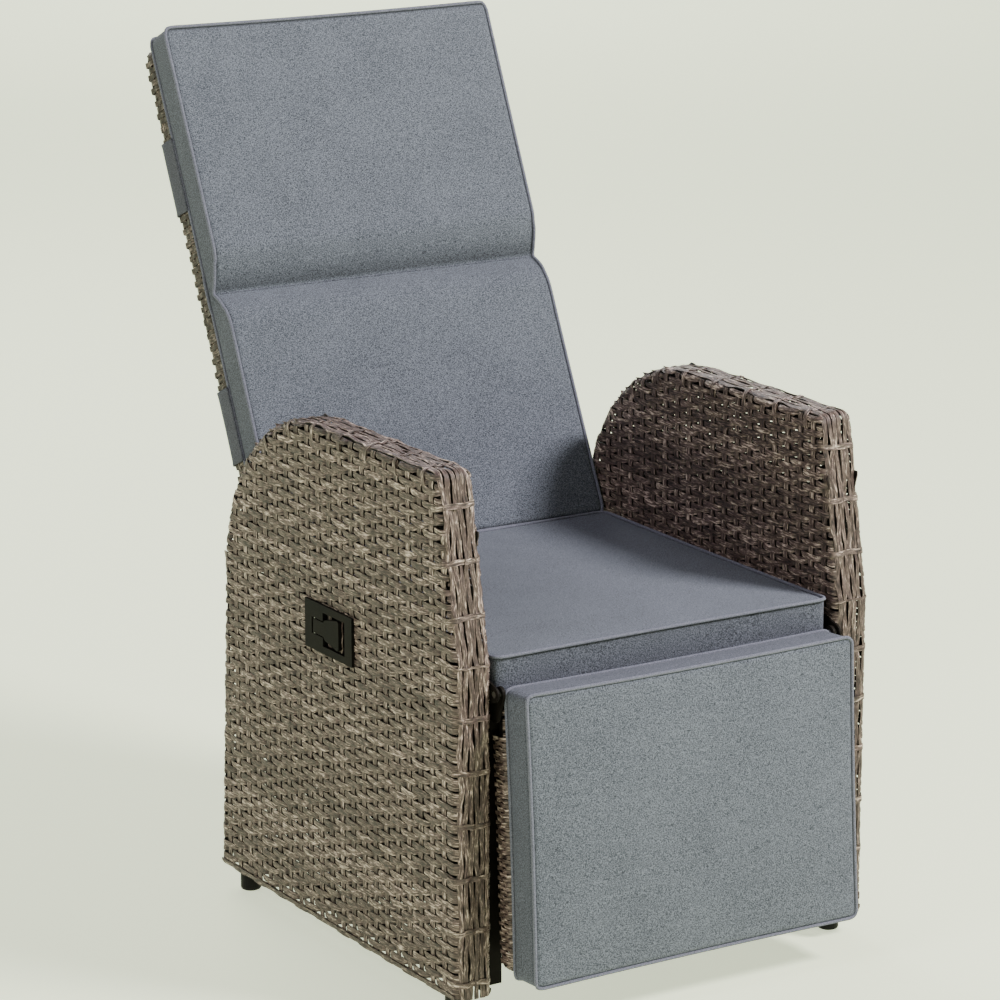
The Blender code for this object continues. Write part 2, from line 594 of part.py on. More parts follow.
def gas_spring(looks):
    z = GAS_FRONT.y
    head_end = GAS_FRONT_Y + 0.012
    cylinder_front = head_end + GAS_FREE
    cylinder = rod((0, cylinder_front, z), (0, GAS_REAR.x - 0.014, z), GAS_RADIUS, 28)
    cylinder = smooth(add("gas_cylinder", cylinder, looks["steel"], GAS_REAR))
    eye = slab(capsule(GAS_REAR, (GAS_REAR.x - 0.020, z), 0.009, 0.009), -0.009, 0.009)
    boolean(cylinder, add("join_gas_eye", eye, looks["steel"]), "UNION")
    boolean(cylinder, add("cut_gas_eye", x_rod(GAS_REAR, -0.03, 0.03, GAS_PIN + RUNNING), looks["steel"]))
    bore = rod((0, cylinder_front - 0.01, z), (0, cylinder_front + GAS_BORE_DEPTH, z), GAS_BORE, 28)
    boolean(cylinder, add("cut_gas_bore", bore, looks["steel"]))
    bar = smooth(add("gas_rod", rod((0, head_end - 0.004, z), (0, cylinder_front + GAS_INSIDE, z), GAS_ROD),
                     looks["chrome"]))
    head = rod((0, GAS_FRONT_Y - 0.020, z), (0, head_end, z), 0.009, 24)
    boolean(bar, add("join_gas_head", head, looks["steel"]), "UNION")
    boolean(bar, add("cut_gas_head", x_rod(GAS_FRONT, -0.03, 0.03, GAS_PIN + TOUCH), looks["steel"]))
    for name, at, reach in (("front", GAS_FRONT, 0.0195), ("rear", GAS_REAR, 0.0205)):
        origin = GAS_REAR if name == "rear" else None
        smooth(add(f"gas_pin_{name}", x_rod(at, -reach, reach, GAS_PIN), looks["bolt"], origin))


# Release handle

def handle(side_pieces, looks):
    face = -OUTER_X
    y0, y1 = BEZEL_Y[0] + HOUSING_MARGIN, BEZEL_Y[1] - HOUSING_MARGIN
    z0, z1 = BEZEL_Z[0] + 0.0065, BEZEL_Z[1] - 0.0055
    mid_z = (BEZEL_Z[0] + BEZEL_Z[1]) / 2
    back_x = face + HOUSING_DEPTH
    bezel = box((face - BEZEL_T - TOUCH, BEZEL_Y[0], BEZEL_Z[0]), (face - TOUCH, BEZEL_Y[1], BEZEL_Z[1]))
    housing = add("handle_housing", bezel, looks["plastic"])
    body = add("join_housing", box((face - BEZEL_T / 2, y0, z0), (back_x, y1, z1)), looks["plastic"])
    boolean(housing, body, "UNION")
    clear = add("cut_weave_housing", box((face - 0.01, y0 - TOUCH, z0 - TOUCH),
                                         (back_x + 0.001, y1 + TOUCH, z1 + TOUCH)), looks["plastic"])
    boolean(side_pieces["left"]["outer"], clear)
    out_x = face - BEZEL_T - 0.02
    floor_x = back_x - 0.004
    knuckle = PADDLE_T / 2
    axis_x = face - BEZEL_T - TOUCH + knuckle
    pockets = (((PADDLE_FRONT_Y - FINGER_SLOT, PADDLE_NECK_Y + PADDLE_GAP), PADDLE_HEAD),
               ((PADDLE_NECK_Y - 0.001, PADDLE_AXIS_Y + knuckle + PADDLE_GAP), PADDLE_NECK))
    for i, ((a, b), height) in enumerate(pockets):
        reach = height / 2 + PADDLE_GAP
        pocket = box((out_x, a, mid_z - reach), (floor_x, b, mid_z + reach))
        boolean(housing, add(f"cut_pocket_{i}", pocket, looks["plastic"]))
    at = Vector((axis_x, PADDLE_AXIS_Y, mid_z))
    pin_reach = PADDLE_NECK / 2 + PADDLE_GAP + 0.007
    pin_hole = rod(at - Vector((0, 0, pin_reach + TOUCH)), at + Vector((0, 0, pin_reach + TOUCH)),
                   PADDLE_PIN + TOUCH)
    pin_hole = add("cut_paddle_pin", pin_hole, looks["plastic"])
    boolean(housing, pin_hole)
    reach = Vector((0, 0, pin_reach))
    smooth(add("paddle_pin", rod(at - reach, at + reach, PADDLE_PIN, 12), looks["bolt"]))
    paddle(at, knuckle, looks)


def paddle(at, knuckle, looks):
    """Mushroom-shaped lever that turns on its rear end and is pulled out at the front."""
    bm = rod(at - Vector((0, 0, PADDLE_NECK / 2)), at + Vector((0, 0, PADDLE_NECK / 2)), knuckle)
    made = add("handle_paddle", bm, looks["plastic"])
    neck = box((at.x - knuckle, PADDLE_NECK_Y - 0.002, at.z - PADDLE_NECK / 2),
               (at.x + knuckle, at.y, at.z + PADDLE_NECK / 2))
    boolean(made, add("join_neck", neck, looks["plastic"]), "UNION")
    half = PADDLE_HEAD / 2
    outline = [(PADDLE_FRONT_Y, at.z - half), (PADDLE_NECK_Y, at.z - half * 0.62),
               (PADDLE_NECK_Y, at.z + half * 0.62), (PADDLE_FRONT_Y, at.z + half)]
    outline = rounded(outline, (0.004, 0.006, 0.006, 0.004))
    head = slab(outline, at.x - knuckle, at.x + knuckle)
    boolean(made, add("join_head", head, looks["plastic"]), "UNION")
    hole = rod(at - Vector((0, 0, 0.03)), at + Vector((0, 0, 0.03)), PADDLE_PIN + RUNNING)
    boolean(made, add("cut_paddle", hole, looks["plastic"]))


def release_cable(side_pieces, looks):
    """Cable from the housing, down inside the left panel and under the seat to the gas spring."""
    left = -OUTER_X
    inner = -INNER_X
    gas_z = GAS_FRONT.y - SEAT_TOP
    route = [(left + 0.020, BEZEL_Y[1] - HOUSING_MARGIN + TOUCH, -0.031), (left + 0.022, 0.068, -0.032),
             (inner - 0.019, 0.092, -0.043), (inner - 0.0102, 0.104, -0.064),
             (inner - 0.0098, 0.106, -0.087), (inner - 0.006, 0.098, -0.099),
             (inner + 0.010, 0.080, -0.101), (inner + 0.050, 0.045, -0.100), (-0.120, -0.025, -0.100),
             (-0.055, -0.085, -0.104), (-0.022, -0.115, -0.114), (-0.003, -0.118, -0.125),
             (0, GAS_FRONT_Y - 0.046, gas_z + 0.0005), (0, GAS_FRONT_Y - 0.020 - TOUCH, gas_z)]
    points = smooth_route([(x, y, SEAT_TOP + drop) for x, y, drop in route], 5)
    swept(points, CABLE, looks["rubber"], "release_cable", resolution=2)
    passage = swept(points, CABLE + CABLE_GAP, looks["rubber"], "cut_cable", resolution=2)
    boolean(side_pieces["left"]["inner"], as_mesh(passage))


def smooth_route(route, steps):
    """Read points from a smooth curve that passes through the route's own points."""
    route = [Vector(p) for p in route]
    padded = [2 * route[0] - route[1]] + route + [2 * route[-1] - route[-2]]
    points = []
    for a, b, c, d in zip(padded, padded[1:], padded[2:], padded[3:]):
        for i in range(steps):
            t = i / steps
            points.append(0.5 * (2 * b + (c - a) * t + (2 * a - 5 * b + 4 * c - d) * t ** 2
                                 + (3 * b - a - 3 * c + d) * t ** 3))
    return points + [route[-1]]


def stand_over_origin():
    """Move everything along Y so that the origin is under the middle of the whole chair."""
    bpy.context.view_layer.update()
    graph = bpy.context.evaluated_depsgraph_get()
    kept = [o for o in bpy.data.objects if o.type == "MESH" and not o.hide_render]
    ys = []
    for made in kept:
        evaluated = made.evaluated_get(graph)
        ys += [(made.matrix_world @ Vector(corner)).y for corner in evaluated.bound_box]
    middle = (min(ys) + max(ys)) / 2
    for made in bpy.data.objects:
        made.location.y -= middle
    bpy.context.view_layer.update()
    print(f"the chair is moved {-middle:.5f} m along Y")


def main():
    clear_scene()
    looks = {
        "wicker": material("wicker", (0.23, 0.19, 0.155), 0.55),
        "steel": material("coated_metal", (0.10, 0.085, 0.075), 0.45, 0.6),
        "chrome": material("chrome", (0.80, 0.80, 0.80), 0.12, 1.0),
        "bolt": material("zinc", (0.55, 0.55, 0.55), 0.35, 1.0),
        "plastic": material("black_plastic", (0.02, 0.02, 0.02), 0.40),
        "rubber": material("cable_sheath", (0.015, 0.015, 0.015), 0.50),
        "fabric": material("cushion_fabric", (0.13, 0.16, 0.19), 0.90),
    }
    side_pieces = {side: side_panel(side, sign, looks) for side, sign in SIDES}
    seat(side_pieces, looks)
    back(side_pieces, looks)
    footrest(looks)
    links(looks)
    gas_spring(looks)
    handle(side_pieces, looks)
    release_cable(side_pieces, looks)
    stand_over_origin()


main()
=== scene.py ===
# %% [markdown]
# # A reclining garden chair in woven plastic rattan
#
# The chair has two woven side panels, a seat between them, a back that reclines and a footrest that
# swings up with it. The frame model below holds the hard parts. This lesson makes what the hand and
# the eye meet: the weave, the wrapped edges, the piped cushions and the straps behind the back.
# Everything is in metres, Z is up and the chair faces -Y.

# %% Load the frame
import json
import random
from math import atan2, cos, pi, radians, sin, sqrt, tan, tau

import bmesh
import bpy
from mathutils import Matrix, Vector
from mathutils.bvhtree import BVHTree
from mathutils.kdtree import KDTree


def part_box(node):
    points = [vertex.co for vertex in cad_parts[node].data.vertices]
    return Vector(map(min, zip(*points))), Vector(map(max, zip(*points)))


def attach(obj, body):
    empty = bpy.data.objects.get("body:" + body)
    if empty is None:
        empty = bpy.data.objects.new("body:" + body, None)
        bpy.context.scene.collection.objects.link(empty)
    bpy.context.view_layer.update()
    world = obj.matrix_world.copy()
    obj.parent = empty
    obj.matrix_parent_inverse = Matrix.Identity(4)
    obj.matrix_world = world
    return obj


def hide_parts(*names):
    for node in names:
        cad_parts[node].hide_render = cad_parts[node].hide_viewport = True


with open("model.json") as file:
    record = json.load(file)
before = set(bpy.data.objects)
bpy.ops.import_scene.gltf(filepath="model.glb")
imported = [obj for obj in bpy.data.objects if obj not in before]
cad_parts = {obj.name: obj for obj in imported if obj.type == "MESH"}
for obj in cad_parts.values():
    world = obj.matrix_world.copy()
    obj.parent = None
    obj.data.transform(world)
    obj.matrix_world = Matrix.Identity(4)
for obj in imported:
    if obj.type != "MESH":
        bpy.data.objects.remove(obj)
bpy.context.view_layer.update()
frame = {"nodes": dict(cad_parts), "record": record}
nodes = frame["nodes"]

# %% [markdown]
# ## Camera
#
# The chair is seen from its front left and a little from above, through a long lens, so its upright
# lines stay nearly upright. The camera is set first, so that every later piece is judged through it.

# %% Camera
def linked(name, data):
    """A new object in the scene."""
    made = bpy.data.objects.new(name, data)
    bpy.context.collection.objects.link(made)
    return made


camera = linked("camera", bpy.data.cameras.new("camera"))
camera.location = (-2.6606, -4.29395, 1.8281)
camera.rotation_euler = (radians(90 - 14.52), 0, radians(-31.90))
camera.data.sensor_width = 36
camera.data.lens = 146.7
camera.data.clip_end = 100
bpy.context.scene.camera = camera
print("camera at", [round(c, 3) for c in camera.location])

# %% [markdown]
# ## Floor and light
#
# A studio picture of garden furniture has no hard shadow and no horizon. The floor is a wide pale
# bowl: it lies flat to 12 m from the chair and then curves up into a low wall all round, so no level
# view meets a horizon. It is a profile of a few vertices, spun round the upright axis.

# %% Floor
flat_reach, curve_radius, wall_top = 12.0, 3.0, 4.5


def mesh_of(name, bm):
    """Turn a bmesh into a mesh and free it."""
    mesh = bpy.data.meshes.new(name)
    bm.to_mesh(mesh)
    bm.free()
    return mesh


def node_material(name):
    """A new material, its nodes and its shader."""
    made = bpy.data.materials.new(name)
    made.use_nodes = True
    tree = made.node_tree
    return made, tree, tree.nodes["Principled BSDF"]


profile = [(0.0, 0.0), (flat_reach, 0.0)]
profile += [(flat_reach + curve_radius * sin(radians(a)), curve_radius * (1 - cos(radians(a))))
            for a in range(6, 91, 6)]
profile.append((flat_reach + curve_radius, wall_top))
bowl = bmesh.new()
line = [bowl.verts.new((x, 0, z)) for x, z in profile]
for a, b in zip(line, line[1:]):
    bowl.edges.new((a, b))
bmesh.ops.spin(bowl, geom=bowl.verts[:] + bowl.edges[:], axis=(0, 0, 1), cent=(0, 0, 0), angle=tau,
               steps=96, use_merge=True)
bmesh.ops.remove_doubles(bowl, verts=bowl.verts, dist=0.0001)
bmesh.ops.recalc_face_normals(bowl, faces=bowl.faces)
floor_data = mesh_of("floor", bowl)
floor_data.shade_smooth()
if floor_data.polygons[0].normal.z < 0:
    floor_data.flip_normals()
floor = linked("floor", floor_data)
floor_look, _, floor_shader = node_material("studio_floor")
floor_shader.inputs["Base Color"].default_value = (0.55, 0.59, 0.43, 1)
floor_shader.inputs["Emission Color"].default_value = (0.90, 0.99, 0.70, 1)
floor_shader.inputs["Emission Strength"].default_value = 1.02
floor_shader.inputs["Roughness"].default_value = 0.9
floor_shader.inputs["Specular IOR Level"].default_value = 0.1
floor_data.materials.append(floor_look)
print(f"the studio floor is {2 * (flat_reach + curve_radius):.0f} m across")

# %% [markdown]
# A pale world lights everything evenly. One large soft light stands to the right and in front, a
# weaker one fills from the left, one behind the chair draws its rear edges, and the last keeps the
# floor far behind the chair pale.

# %% Light
world = bpy.data.worlds.new("studio")
world.use_nodes = True
world.node_tree.nodes["Background"].inputs["Color"].default_value = (1.0, 0.94, 1.0, 1)
world.node_tree.nodes["Background"].inputs["Strength"].default_value = 0.16
bpy.context.scene.world = world


def soft_light(name, place, aim, size, power, colour=(1, 1, 1)):
    data = bpy.data.lights.new(name, "AREA")
    data.shape = "DISK"
    data.size = size
    data.energy = power
    data.color = colour
    lamp = linked(name, data)
    lamp.location = place
    lamp.rotation_euler = (Vector(aim) - Vector(place)).to_track_quat("-Z", "Y").to_euler()


soft_light("key", (2.4, -3.2, 4.3), (0, 0, 0.5), 1.5, 640, (1.0, 0.97, 0.95))
soft_light("fill", (-3.8, -0.6, 3.8), (0, 0, 0.5), 1.5, 85, (1.0, 0.93, 1.0))
soft_light("rim", (0.5, 4.0, 3.5), (0, 0, 0.6), 2.5, 170)
soft_light("backdrop", (4.5, 8.0, 4.5), (4.5, 8.0, 0), 4.0, 420)
print("four soft lights")

# %% [markdown]
# ## Places on the chair
#
# The sizes come from the frame itself. A side panel is an upright slab whose edge runs up the front,
# leans back above the knee, turns over the arm and falls in one large curve to the rear. The back
# leans by 25 degrees and the footrest hangs at 3.6 degrees.

# %% Sizes read from the frame
side_low, side_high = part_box("edge_band_right")
outer_x, inner_x = side_high[0], side_low[0]
middle_x = (outer_x + inner_x) / 2
front_y, rear_y = side_low[1], side_high[1]
hem_z, arm_z = side_low[2], side_high[2]
seat_low, seat_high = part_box("seat_cushion")
seat_top = seat_high[2]
rear_slope = tan(radians(3.1))
back_lean = radians(25.0)
foot_lean = radians(3.6)
across = Vector((1, 0, 0))
up_back = Vector((0, sin(back_lean), cos(back_lean)))
behind = Vector((0, cos(back_lean), -sin(back_lean)))
up_foot = Vector((0, sin(foot_lean), cos(foot_lean)))
into_foot = Vector((0, cos(foot_lean), -sin(foot_lean)))
seat_line = Vector((0, seat_high[1] + 0.005, seat_top))
print(f"side panels {outer_x - inner_x:.3f} thick, arms {arm_z:.3f} high, seat {seat_top:.3f} high")


# %% Helpers for outlines
def axes(x, y, z, origin):
    """The matrix that lays local x, y and z along three directions from an origin."""
    made = Matrix((x, y, z)).transposed().to_4x4()
    made.translation = origin
    return made


def rounded(corners, radii, steps=14):
    """An open outline through the corners, each turned with its radius."""
    out = [Vector(corners[0])]
    for before, here, after, radius in zip(corners, corners[1:], corners[2:], radii):
        here = Vector(here)
        back, on = (Vector(before) - here).normalized(), (Vector(after) - here).normalized()
        half = back.angle(on) / 2
        centre = here + (back + on).normalized() * radius / sin(half)
        first = here + back * radius / tan(half) - centre
        last = here + on * radius / tan(half) - centre
        start = atan2(first.y, first.x)
        turn = (atan2(last.y, last.x) - start + pi) % tau - pi
        for i in range(steps + 1):
            angle = start + turn * i / steps
            out.append(centre + Vector((cos(angle), sin(angle))) * radius)
    return out + [Vector(corners[-1])]


class Edge:
    """An outline measured along its length, with the side that faces out.

    half is half the width of the band that is woven round it.
    """

    def __init__(self, corners, radii, half=0.0, spacing=0.001):
        self.half = half
        line = rounded(corners, radii)
        self.points = [line[0]]
        for a, b in zip(line, line[1:]):
            pieces = max(1, round((b - a).length / spacing))
            self.points += [a.lerp(b, i / pieces) for i in range(1, pieces + 1)]
        self.reach = [0.0]
        for a, b in zip(self.points, self.points[1:]):
            self.reach.append(self.reach[-1] + (b - a).length)
        self.length = self.reach[-1]
        middle = sum(self.points, Vector((0, 0))) / len(self.points)
        a, b = self.points[0], self.points[1]
        left = Vector((a.y - b.y, b.x - a.x))
        self.turn = 1 if left.dot(a - middle) > 0 else -1
        self.tree = KDTree(len(self.points))
        for i, p in enumerate(self.points):
            self.tree.insert((p.x, p.y, 0), i)
        self.tree.balance()

    def at(self, s):
        """Point and outward direction at a distance along the outline."""
        share = min(max(s / self.length, 0), 1) * (len(self.points) - 1)
        i = min(int(share), len(self.points) - 2)
        j, k = max(i - 4, 0), min(i + 5, len(self.points) - 1)
        along = (self.points[k] - self.points[j]).normalized()
        point = self.points[i].lerp(self.points[i + 1], share - i)
        return point, Vector((-along.y, along.x)) * self.turn

    def distance(self, a, b):
        return self.tree.find((a, b, 0))[2]

    def across_at(self, axis, value):
        """Where a straight line through the outline meets it, in the other coordinate."""
        found = []
        ring = self.points + [self.points[0]]
        for a, b in zip(ring, ring[1:]):
            if (a[axis] - value) * (b[axis] - value) < 0:
                share = (value - a[axis]) / (b[axis] - a[axis])
                found.append(a.lerp(b, share)[1 - axis])
        return (min(found), max(found)) if found else (0, 0)


knee_z = seat_top - 0.004
side_edge = Edge([(front_y, hem_z), (front_y, knee_z), (front_y + 0.042, arm_z),
                  (rear_y - (arm_z - hem_z) * rear_slope, arm_z), (rear_y, hem_z)],
                 [0.030, 0.012, 0.240], half=(outer_x - inner_x) / 2)
print(f"the edge of a side panel is {side_edge.length:.3f} m long")

# %% [markdown]
# ## The look of the strips
#
# Each strip is an extruded plastic ribbon a little over 8 mm wide, with fine grooves along it and
# streaks of three browns, so that a panel seems to be made of dried leaf. A pattern fixed in space
# would run across neighbouring strips, so every strip gets a map of its own: one coordinate runs
# along it in centimetres, and the whole part of the other is the strip's number. The shader reads
# the number for each strip's shade and stretches its streaks along the first coordinate.

# %% Helpers for shaders
def link(tree, a, b):
    tree.links.new(a, b)


def math_node(tree, operation, a, b=None):
    made = tree.nodes.new("ShaderNodeMath")
    made.operation = operation
    for socket, value in zip(made.inputs, (a, b)):
        if value is None:
            continue
        if isinstance(value, (int, float)):
            socket.default_value = value
        else:
            link(tree, value, socket)
    return made.outputs[0]


def mapped(tree, source, scale):
    made = tree.nodes.new("ShaderNodeMapping")
    made.inputs["Scale"].default_value = scale
    link(tree, source, made.inputs["Vector"])
    return made.outputs["Vector"]


def noise(tree, vector, scale, detail=2.0, roughness=0.5, distortion=0.0):
    made = tree.nodes.new("ShaderNodeTexNoise")
    made.inputs["Scale"].default_value = scale
    made.inputs["Detail"].default_value = detail
    made.inputs["Roughness"].default_value = roughness
    made.inputs["Distortion"].default_value = distortion
    link(tree, vector, made.inputs["Vector"])
    return made.outputs["Fac"]


def ramp(tree, value, stops):
    made = tree.nodes.new("ShaderNodeValToRGB")
    elements = made.color_ramp.elements
    while len(elements) < len(stops):
        elements.new(0.5)
    for element, (place, colour) in zip(elements, stops):
        element.position = place
        element.color = (*colour, 1)
    link(tree, value, made.inputs["Fac"])
    return made.outputs["Color"]


def bump(tree, height, strength, distance, shader):
    made = tree.nodes.new("ShaderNodeBump")
    made.inputs["Strength"].default_value = strength
    made.inputs["Distance"].default_value = distance
    link(tree, height, made.inputs["Height"])
    link(tree, made.outputs["Normal"], shader.inputs["Normal"])


def darkened_by_painted_shade(tree, colour):
    """Darken a colour by the painted shade that the mesh stores for its hidden places."""
    painted_shade = tree.nodes.new("ShaderNodeAttribute")
    painted_shade.attribute_name = "painted_shade"
    hidden = math_node(tree, "MULTIPLY", painted_shade.outputs["Fac"], 0.95)
    left = math_node(tree, "SUBTRACT", 1.0, hidden)
    darker = tree.nodes.new("ShaderNodeVectorMath")
    darker.operation = "SCALE"
    link(tree, colour, darker.inputs[0])
    link(tree, left, darker.inputs["Scale"])
    return darker.outputs["Vector"]


# %% Wicker
def wicker_material():
    look, tree, shader = node_material("wicker_strips")
    uv = tree.nodes.new("ShaderNodeUVMap")
    uv.uv_map = "strip"
    parts = tree.nodes.new("ShaderNodeSeparateXYZ")
    link(tree, uv.outputs["UV"], parts.inputs[0])
    number = math_node(tree, "FLOOR", parts.outputs["Y"])
    shade = tree.nodes.new("ShaderNodeTexWhiteNoise")
    shade.noise_dimensions = "1D"
    link(tree, number, shade.inputs["W"])
    streaks = noise(tree, mapped(tree, uv.outputs["UV"], (0.9, 4.6, 1)), 1.0, 4.0, 0.65, 0.4)
    patches = noise(tree, mapped(tree, uv.outputs["UV"], (0.35, 1.7, 1)), 1.0, 2.0)
    mixed = math_node(tree, "MULTIPLY", streaks, 0.66)
    mixed = math_node(tree, "ADD", mixed, math_node(tree, "MULTIPLY", patches, 0.24))
    own = math_node(tree, "MULTIPLY", shade.outputs["Value"], 0.07)
    mixed = math_node(tree, "ADD", mixed, own)
    colour = ramp(tree, mixed, [(0.37, (0.008, 0.005, 0.004)), (0.45, (0.052, 0.033, 0.028)),
                                (0.53, (0.130, 0.091, 0.078)), (0.62, (0.640, 0.500, 0.440))])
    tint = tree.nodes.new("ShaderNodeHueSaturation")
    hue = math_node(tree, "ADD", math_node(tree, "MULTIPLY", patches, 0.10), 0.45)
    link(tree, hue, tint.inputs["Hue"])
    link(tree, colour, tint.inputs["Color"])
    # The strip colour gets painted shade where the strips are hidden.
    link(tree, darkened_by_painted_shade(tree, tint.outputs["Color"]), shader.inputs["Base Color"])
    shader.inputs["Specular IOR Level"].default_value = 0.45
    grooves = noise(tree, mapped(tree, uv.outputs["UV"], (0.25, 26.0, 1)), 1.0, 2.0)
    rough = math_node(tree, "ADD", math_node(tree, "MULTIPLY", grooves, 0.25), 0.42)
    link(tree, rough, shader.inputs["Roughness"])
    bump(tree, grooves, 0.7, 0.0006, shader)
    return look


wicker = wicker_material()
print("made", wicker.name)

# %% [markdown]
# ## Weaving
#
# A plain weave could be a bump in the shader, but the dark slits beside each crossing are real
# openings, deepened with painted shade on the strip that dives there, and the outline of an arm is
# wavy, so the strips are modelled. Flat strips are laid as grids, given a thickness while they are
# flat, and only then bent: a vertex knows its strip from its place across the strips. Upright stakes
# stand every 27 mm. A strip dives behind every second stake, and its neighbour behind the ones
# between. Near an upright edge the strips draw together in pairs and bend round the corner.

# %% Weave sizes
pitch = 0.00875
strip_width = 0.0085
stake_pitch = 0.027
stake_width = 0.0092
strip_thick = 0.0011
crown = 0.0004
dive = 0.0045
dive_start, dive_end = 0.0096, 0.0050
narrow_start, narrow_run = 0.0140, 0.0055
narrowing, slip = 0.24, 0.0008
lift_over, stake_bulge = 0.0006, 0.0009
ripple, twist = 0.0003, 0.0011
pair_reach, pair_draw = 0.029, 0.17
tuck, tuck_reach = 0.0012, 0.005
corner_radius = 0.009
print(f"{(arm_z - hem_z) / pitch:.0f} rows on a side panel")


# %% Helpers that lay, bend and place strips
def even(start, end, step):
    """Evenly spaced stations from start to end."""
    count = max(2, round((end - start) / step))
    return [start + (end - start) * i / count for i in range(count + 1)]


def lay_strips(runs, pitch=pitch, width=strip_width, ribs=2):
    """Flat strips along x.

    A run is (stations, row): where the strip can bend, and its place along y.
    """
    bm = bmesh.new()
    for stations, row in runs:
        last = len(stations) - 1
        middle = Matrix.Translation((0, (row + 0.5) * pitch, 0))
        place = middle @ Matrix.Diagonal((1, width / 2, 1, 1))
        made = bmesh.ops.create_grid(bm, x_segments=last, y_segments=ribs, size=1, matrix=place)
        for v in made["verts"]:
            v.co.x = stations[round((v.co.x + 1) / 2 * last)]
    bmesh.ops.solidify(bm, geom=bm.faces[:], thickness=strip_thick)
    top = max(v.co.z for v in bm.verts)
    bmesh.ops.translate(bm, verts=bm.verts, vec=(0, 0, -top))
    return bm


def number_strips(bm, pitch=pitch, first=0):
    """Give each strip its own stretch of the map that the shader reads."""
    layer = bm.loops.layers.uv.new("strip")
    painted_shade = bm.verts.layers.float.new("painted_shade")
    for face in bm.faces:
        for loop in face.loops:
            at = loop.vert.co
            loop[layer].uv = (at.x * 100, at.y / pitch + first)
    # Painted shade: the underside of every strip is stored as fully shaded.
    for v in bm.verts:
        v[painted_shade] = 1.0 if v.co.z < -0.0003 else 0.0


def row_of(y, pitch=pitch):
    """Row number and place across the strip, from -0.5 to 0.5."""
    row = int(y // pitch)
    return row, y / pitch - row - 0.5


def smooth_step(t):
    t = min(max(t, 0), 1)
    return t * t * (3 - 2 * t)


def crowned(z, place):
    """Height on a strip whose upper side is slightly domed."""
    return z + crown * (1 - (2 * place) ** 2) if z > -strip_thick / 2 else z


def round_drop(distance):
    """How far a face falls away at this distance from a panel's rounded edge."""
    if distance >= corner_radius:
        return 0
    inside = corner_radius - max(distance, 0)
    return corner_radius - sqrt(max(corner_radius ** 2 - inside ** 2, 0))


sharp_from = radians(50)


def add_piece(name, bm, place, look, body, slot, *replaced):
    """Turn a bmesh in a local frame into a finished piece of the chair."""
    bmesh.ops.transform(bm, matrix=place, verts=bm.verts)
    bmesh.ops.recalc_face_normals(bm, faces=bm.faces)
    mesh = mesh_of(name, bm)
    mesh.shade_smooth()
    mesh.set_sharp_from_angle(angle=sharp_from)
    mesh.materials.append(look)
    piece = linked(name, mesh)
    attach(piece, body)
    if replaced:
        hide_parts(*replaced)
    print(f"{name}: {sum(len(p.vertices) - 2 for p in mesh.polygons)} triangles")


# %% [markdown]
# A strip needs a station wherever it bends: at both flanks of every stake, and close together at its
# two ends, where it turns round the corner. Between them a longer step is enough.

# %% Where a strip bends
fine_flanks = (-0.0092, -0.0056, 0, 0.0056, 0.0092, 0.0135)
plain_flanks = (-0.008, 0, 0.008)
end_step, least_step, longest_step, usual_step = 0.0023, 0.0012, 0.009, 0.006


def bends(a, b, stakes, fine):
    """Stations of a strip from a to b."""
    marks = [s + o for s in stakes for o in (fine_flanks if fine else plain_flanks)]
    marks += [a + end_step * i for i in range(1, 6)] + [b - end_step * i for i in range(1, 6)]
    marks = sorted(m for m in marks if a + least_step < m < b - least_step)
    out = [a]
    for mark in marks + [b]:
        if mark - out[-1] > longest_step:
            out += even(out[-1], mark, usual_step)[1:-1]
        if mark - out[-1] > least_step or mark == b:
            out.append(mark)
    return out


print(f"a strip over one stake has {len(bends(0, 0.06, [0.03], True))} stations")


# %% Weave one face
def weave(bm, stakes, edge_distance, seed):
    """Bend flat strips into a weave over the stakes and round the face's edge."""
    chance = random.Random(seed)
    loose = {}
    painted_shade = bm.verts.layers.float["painted_shade"]
    for v in bm.verts:
        row, place = row_of(v.co.y)
        if row not in loose:
            loose[row] = (chance.uniform(-ripple, ripple), chance.uniform(0, tau))
        shift, phase = loose[row]
        x = v.co.x
        middle = (row + 0.5) * pitch
        v.co.z = crowned(v.co.z, place)
        number = min(range(len(stakes)), key=lambda k: abs(stakes[k] - x))
        away = abs(stakes[number] - x)
        if (number + row) % 2 == 0:
            under = smooth_step((dive_start - away) / (dive_start - dive_end))
            narrow = smooth_step((narrow_start - away) / narrow_run)
            v.co.z -= dive * under
            v.co.y = middle + (v.co.y - middle) * (1 - narrowing * narrow) + slip * narrow
            # A strip that dives behind a stake gets painted shade there.
            v[painted_shade] = max(v[painted_shade], under)
        else:
            v.co.z += lift_over * smooth_step(1 - away / 0.012)
        v.co.z += ripple * sin(x * 90 + phase) + twist * place * sin(x * 47 + phase * 3)
        far = edge_distance(x, v.co.y)
        centre = (row // 2 * 2 + 1) * pitch
        draw = pair_draw * smooth_step(1 - far / pair_reach)
        v.co.y += shift + ripple * sin(x * 140 + phase) - (v.co.y - centre) * draw
        v.co.z -= round_drop(far) + tuck * smooth_step(1 - far / tuck_reach)


def stake_strip(bottom, top, number, seed):
    """One stake, lying along x. It bulges where a strip dives behind it."""
    crossings = even(pitch / 2, pitch * 400.5, pitch)
    stations = [bottom] + [m for m in crossings if bottom < m < top] + [top]
    post = lay_strips([(stations, 0)], pitch=stake_width, width=stake_width, ribs=1)
    number_strips(post, pitch=stake_width, first=seed * 100 + 500 + number)
    for v in post.verts:
        row = round(v.co.x / pitch - 0.5)
        v.co.z += stake_bulge if (number + row) % 2 == 0 else 0
    return post


trim, shortest = 0.0015, 0.012
stake_foot, stake_head, stake_depth, hair = 0.001, 0.004, 0.0014, 0.0003


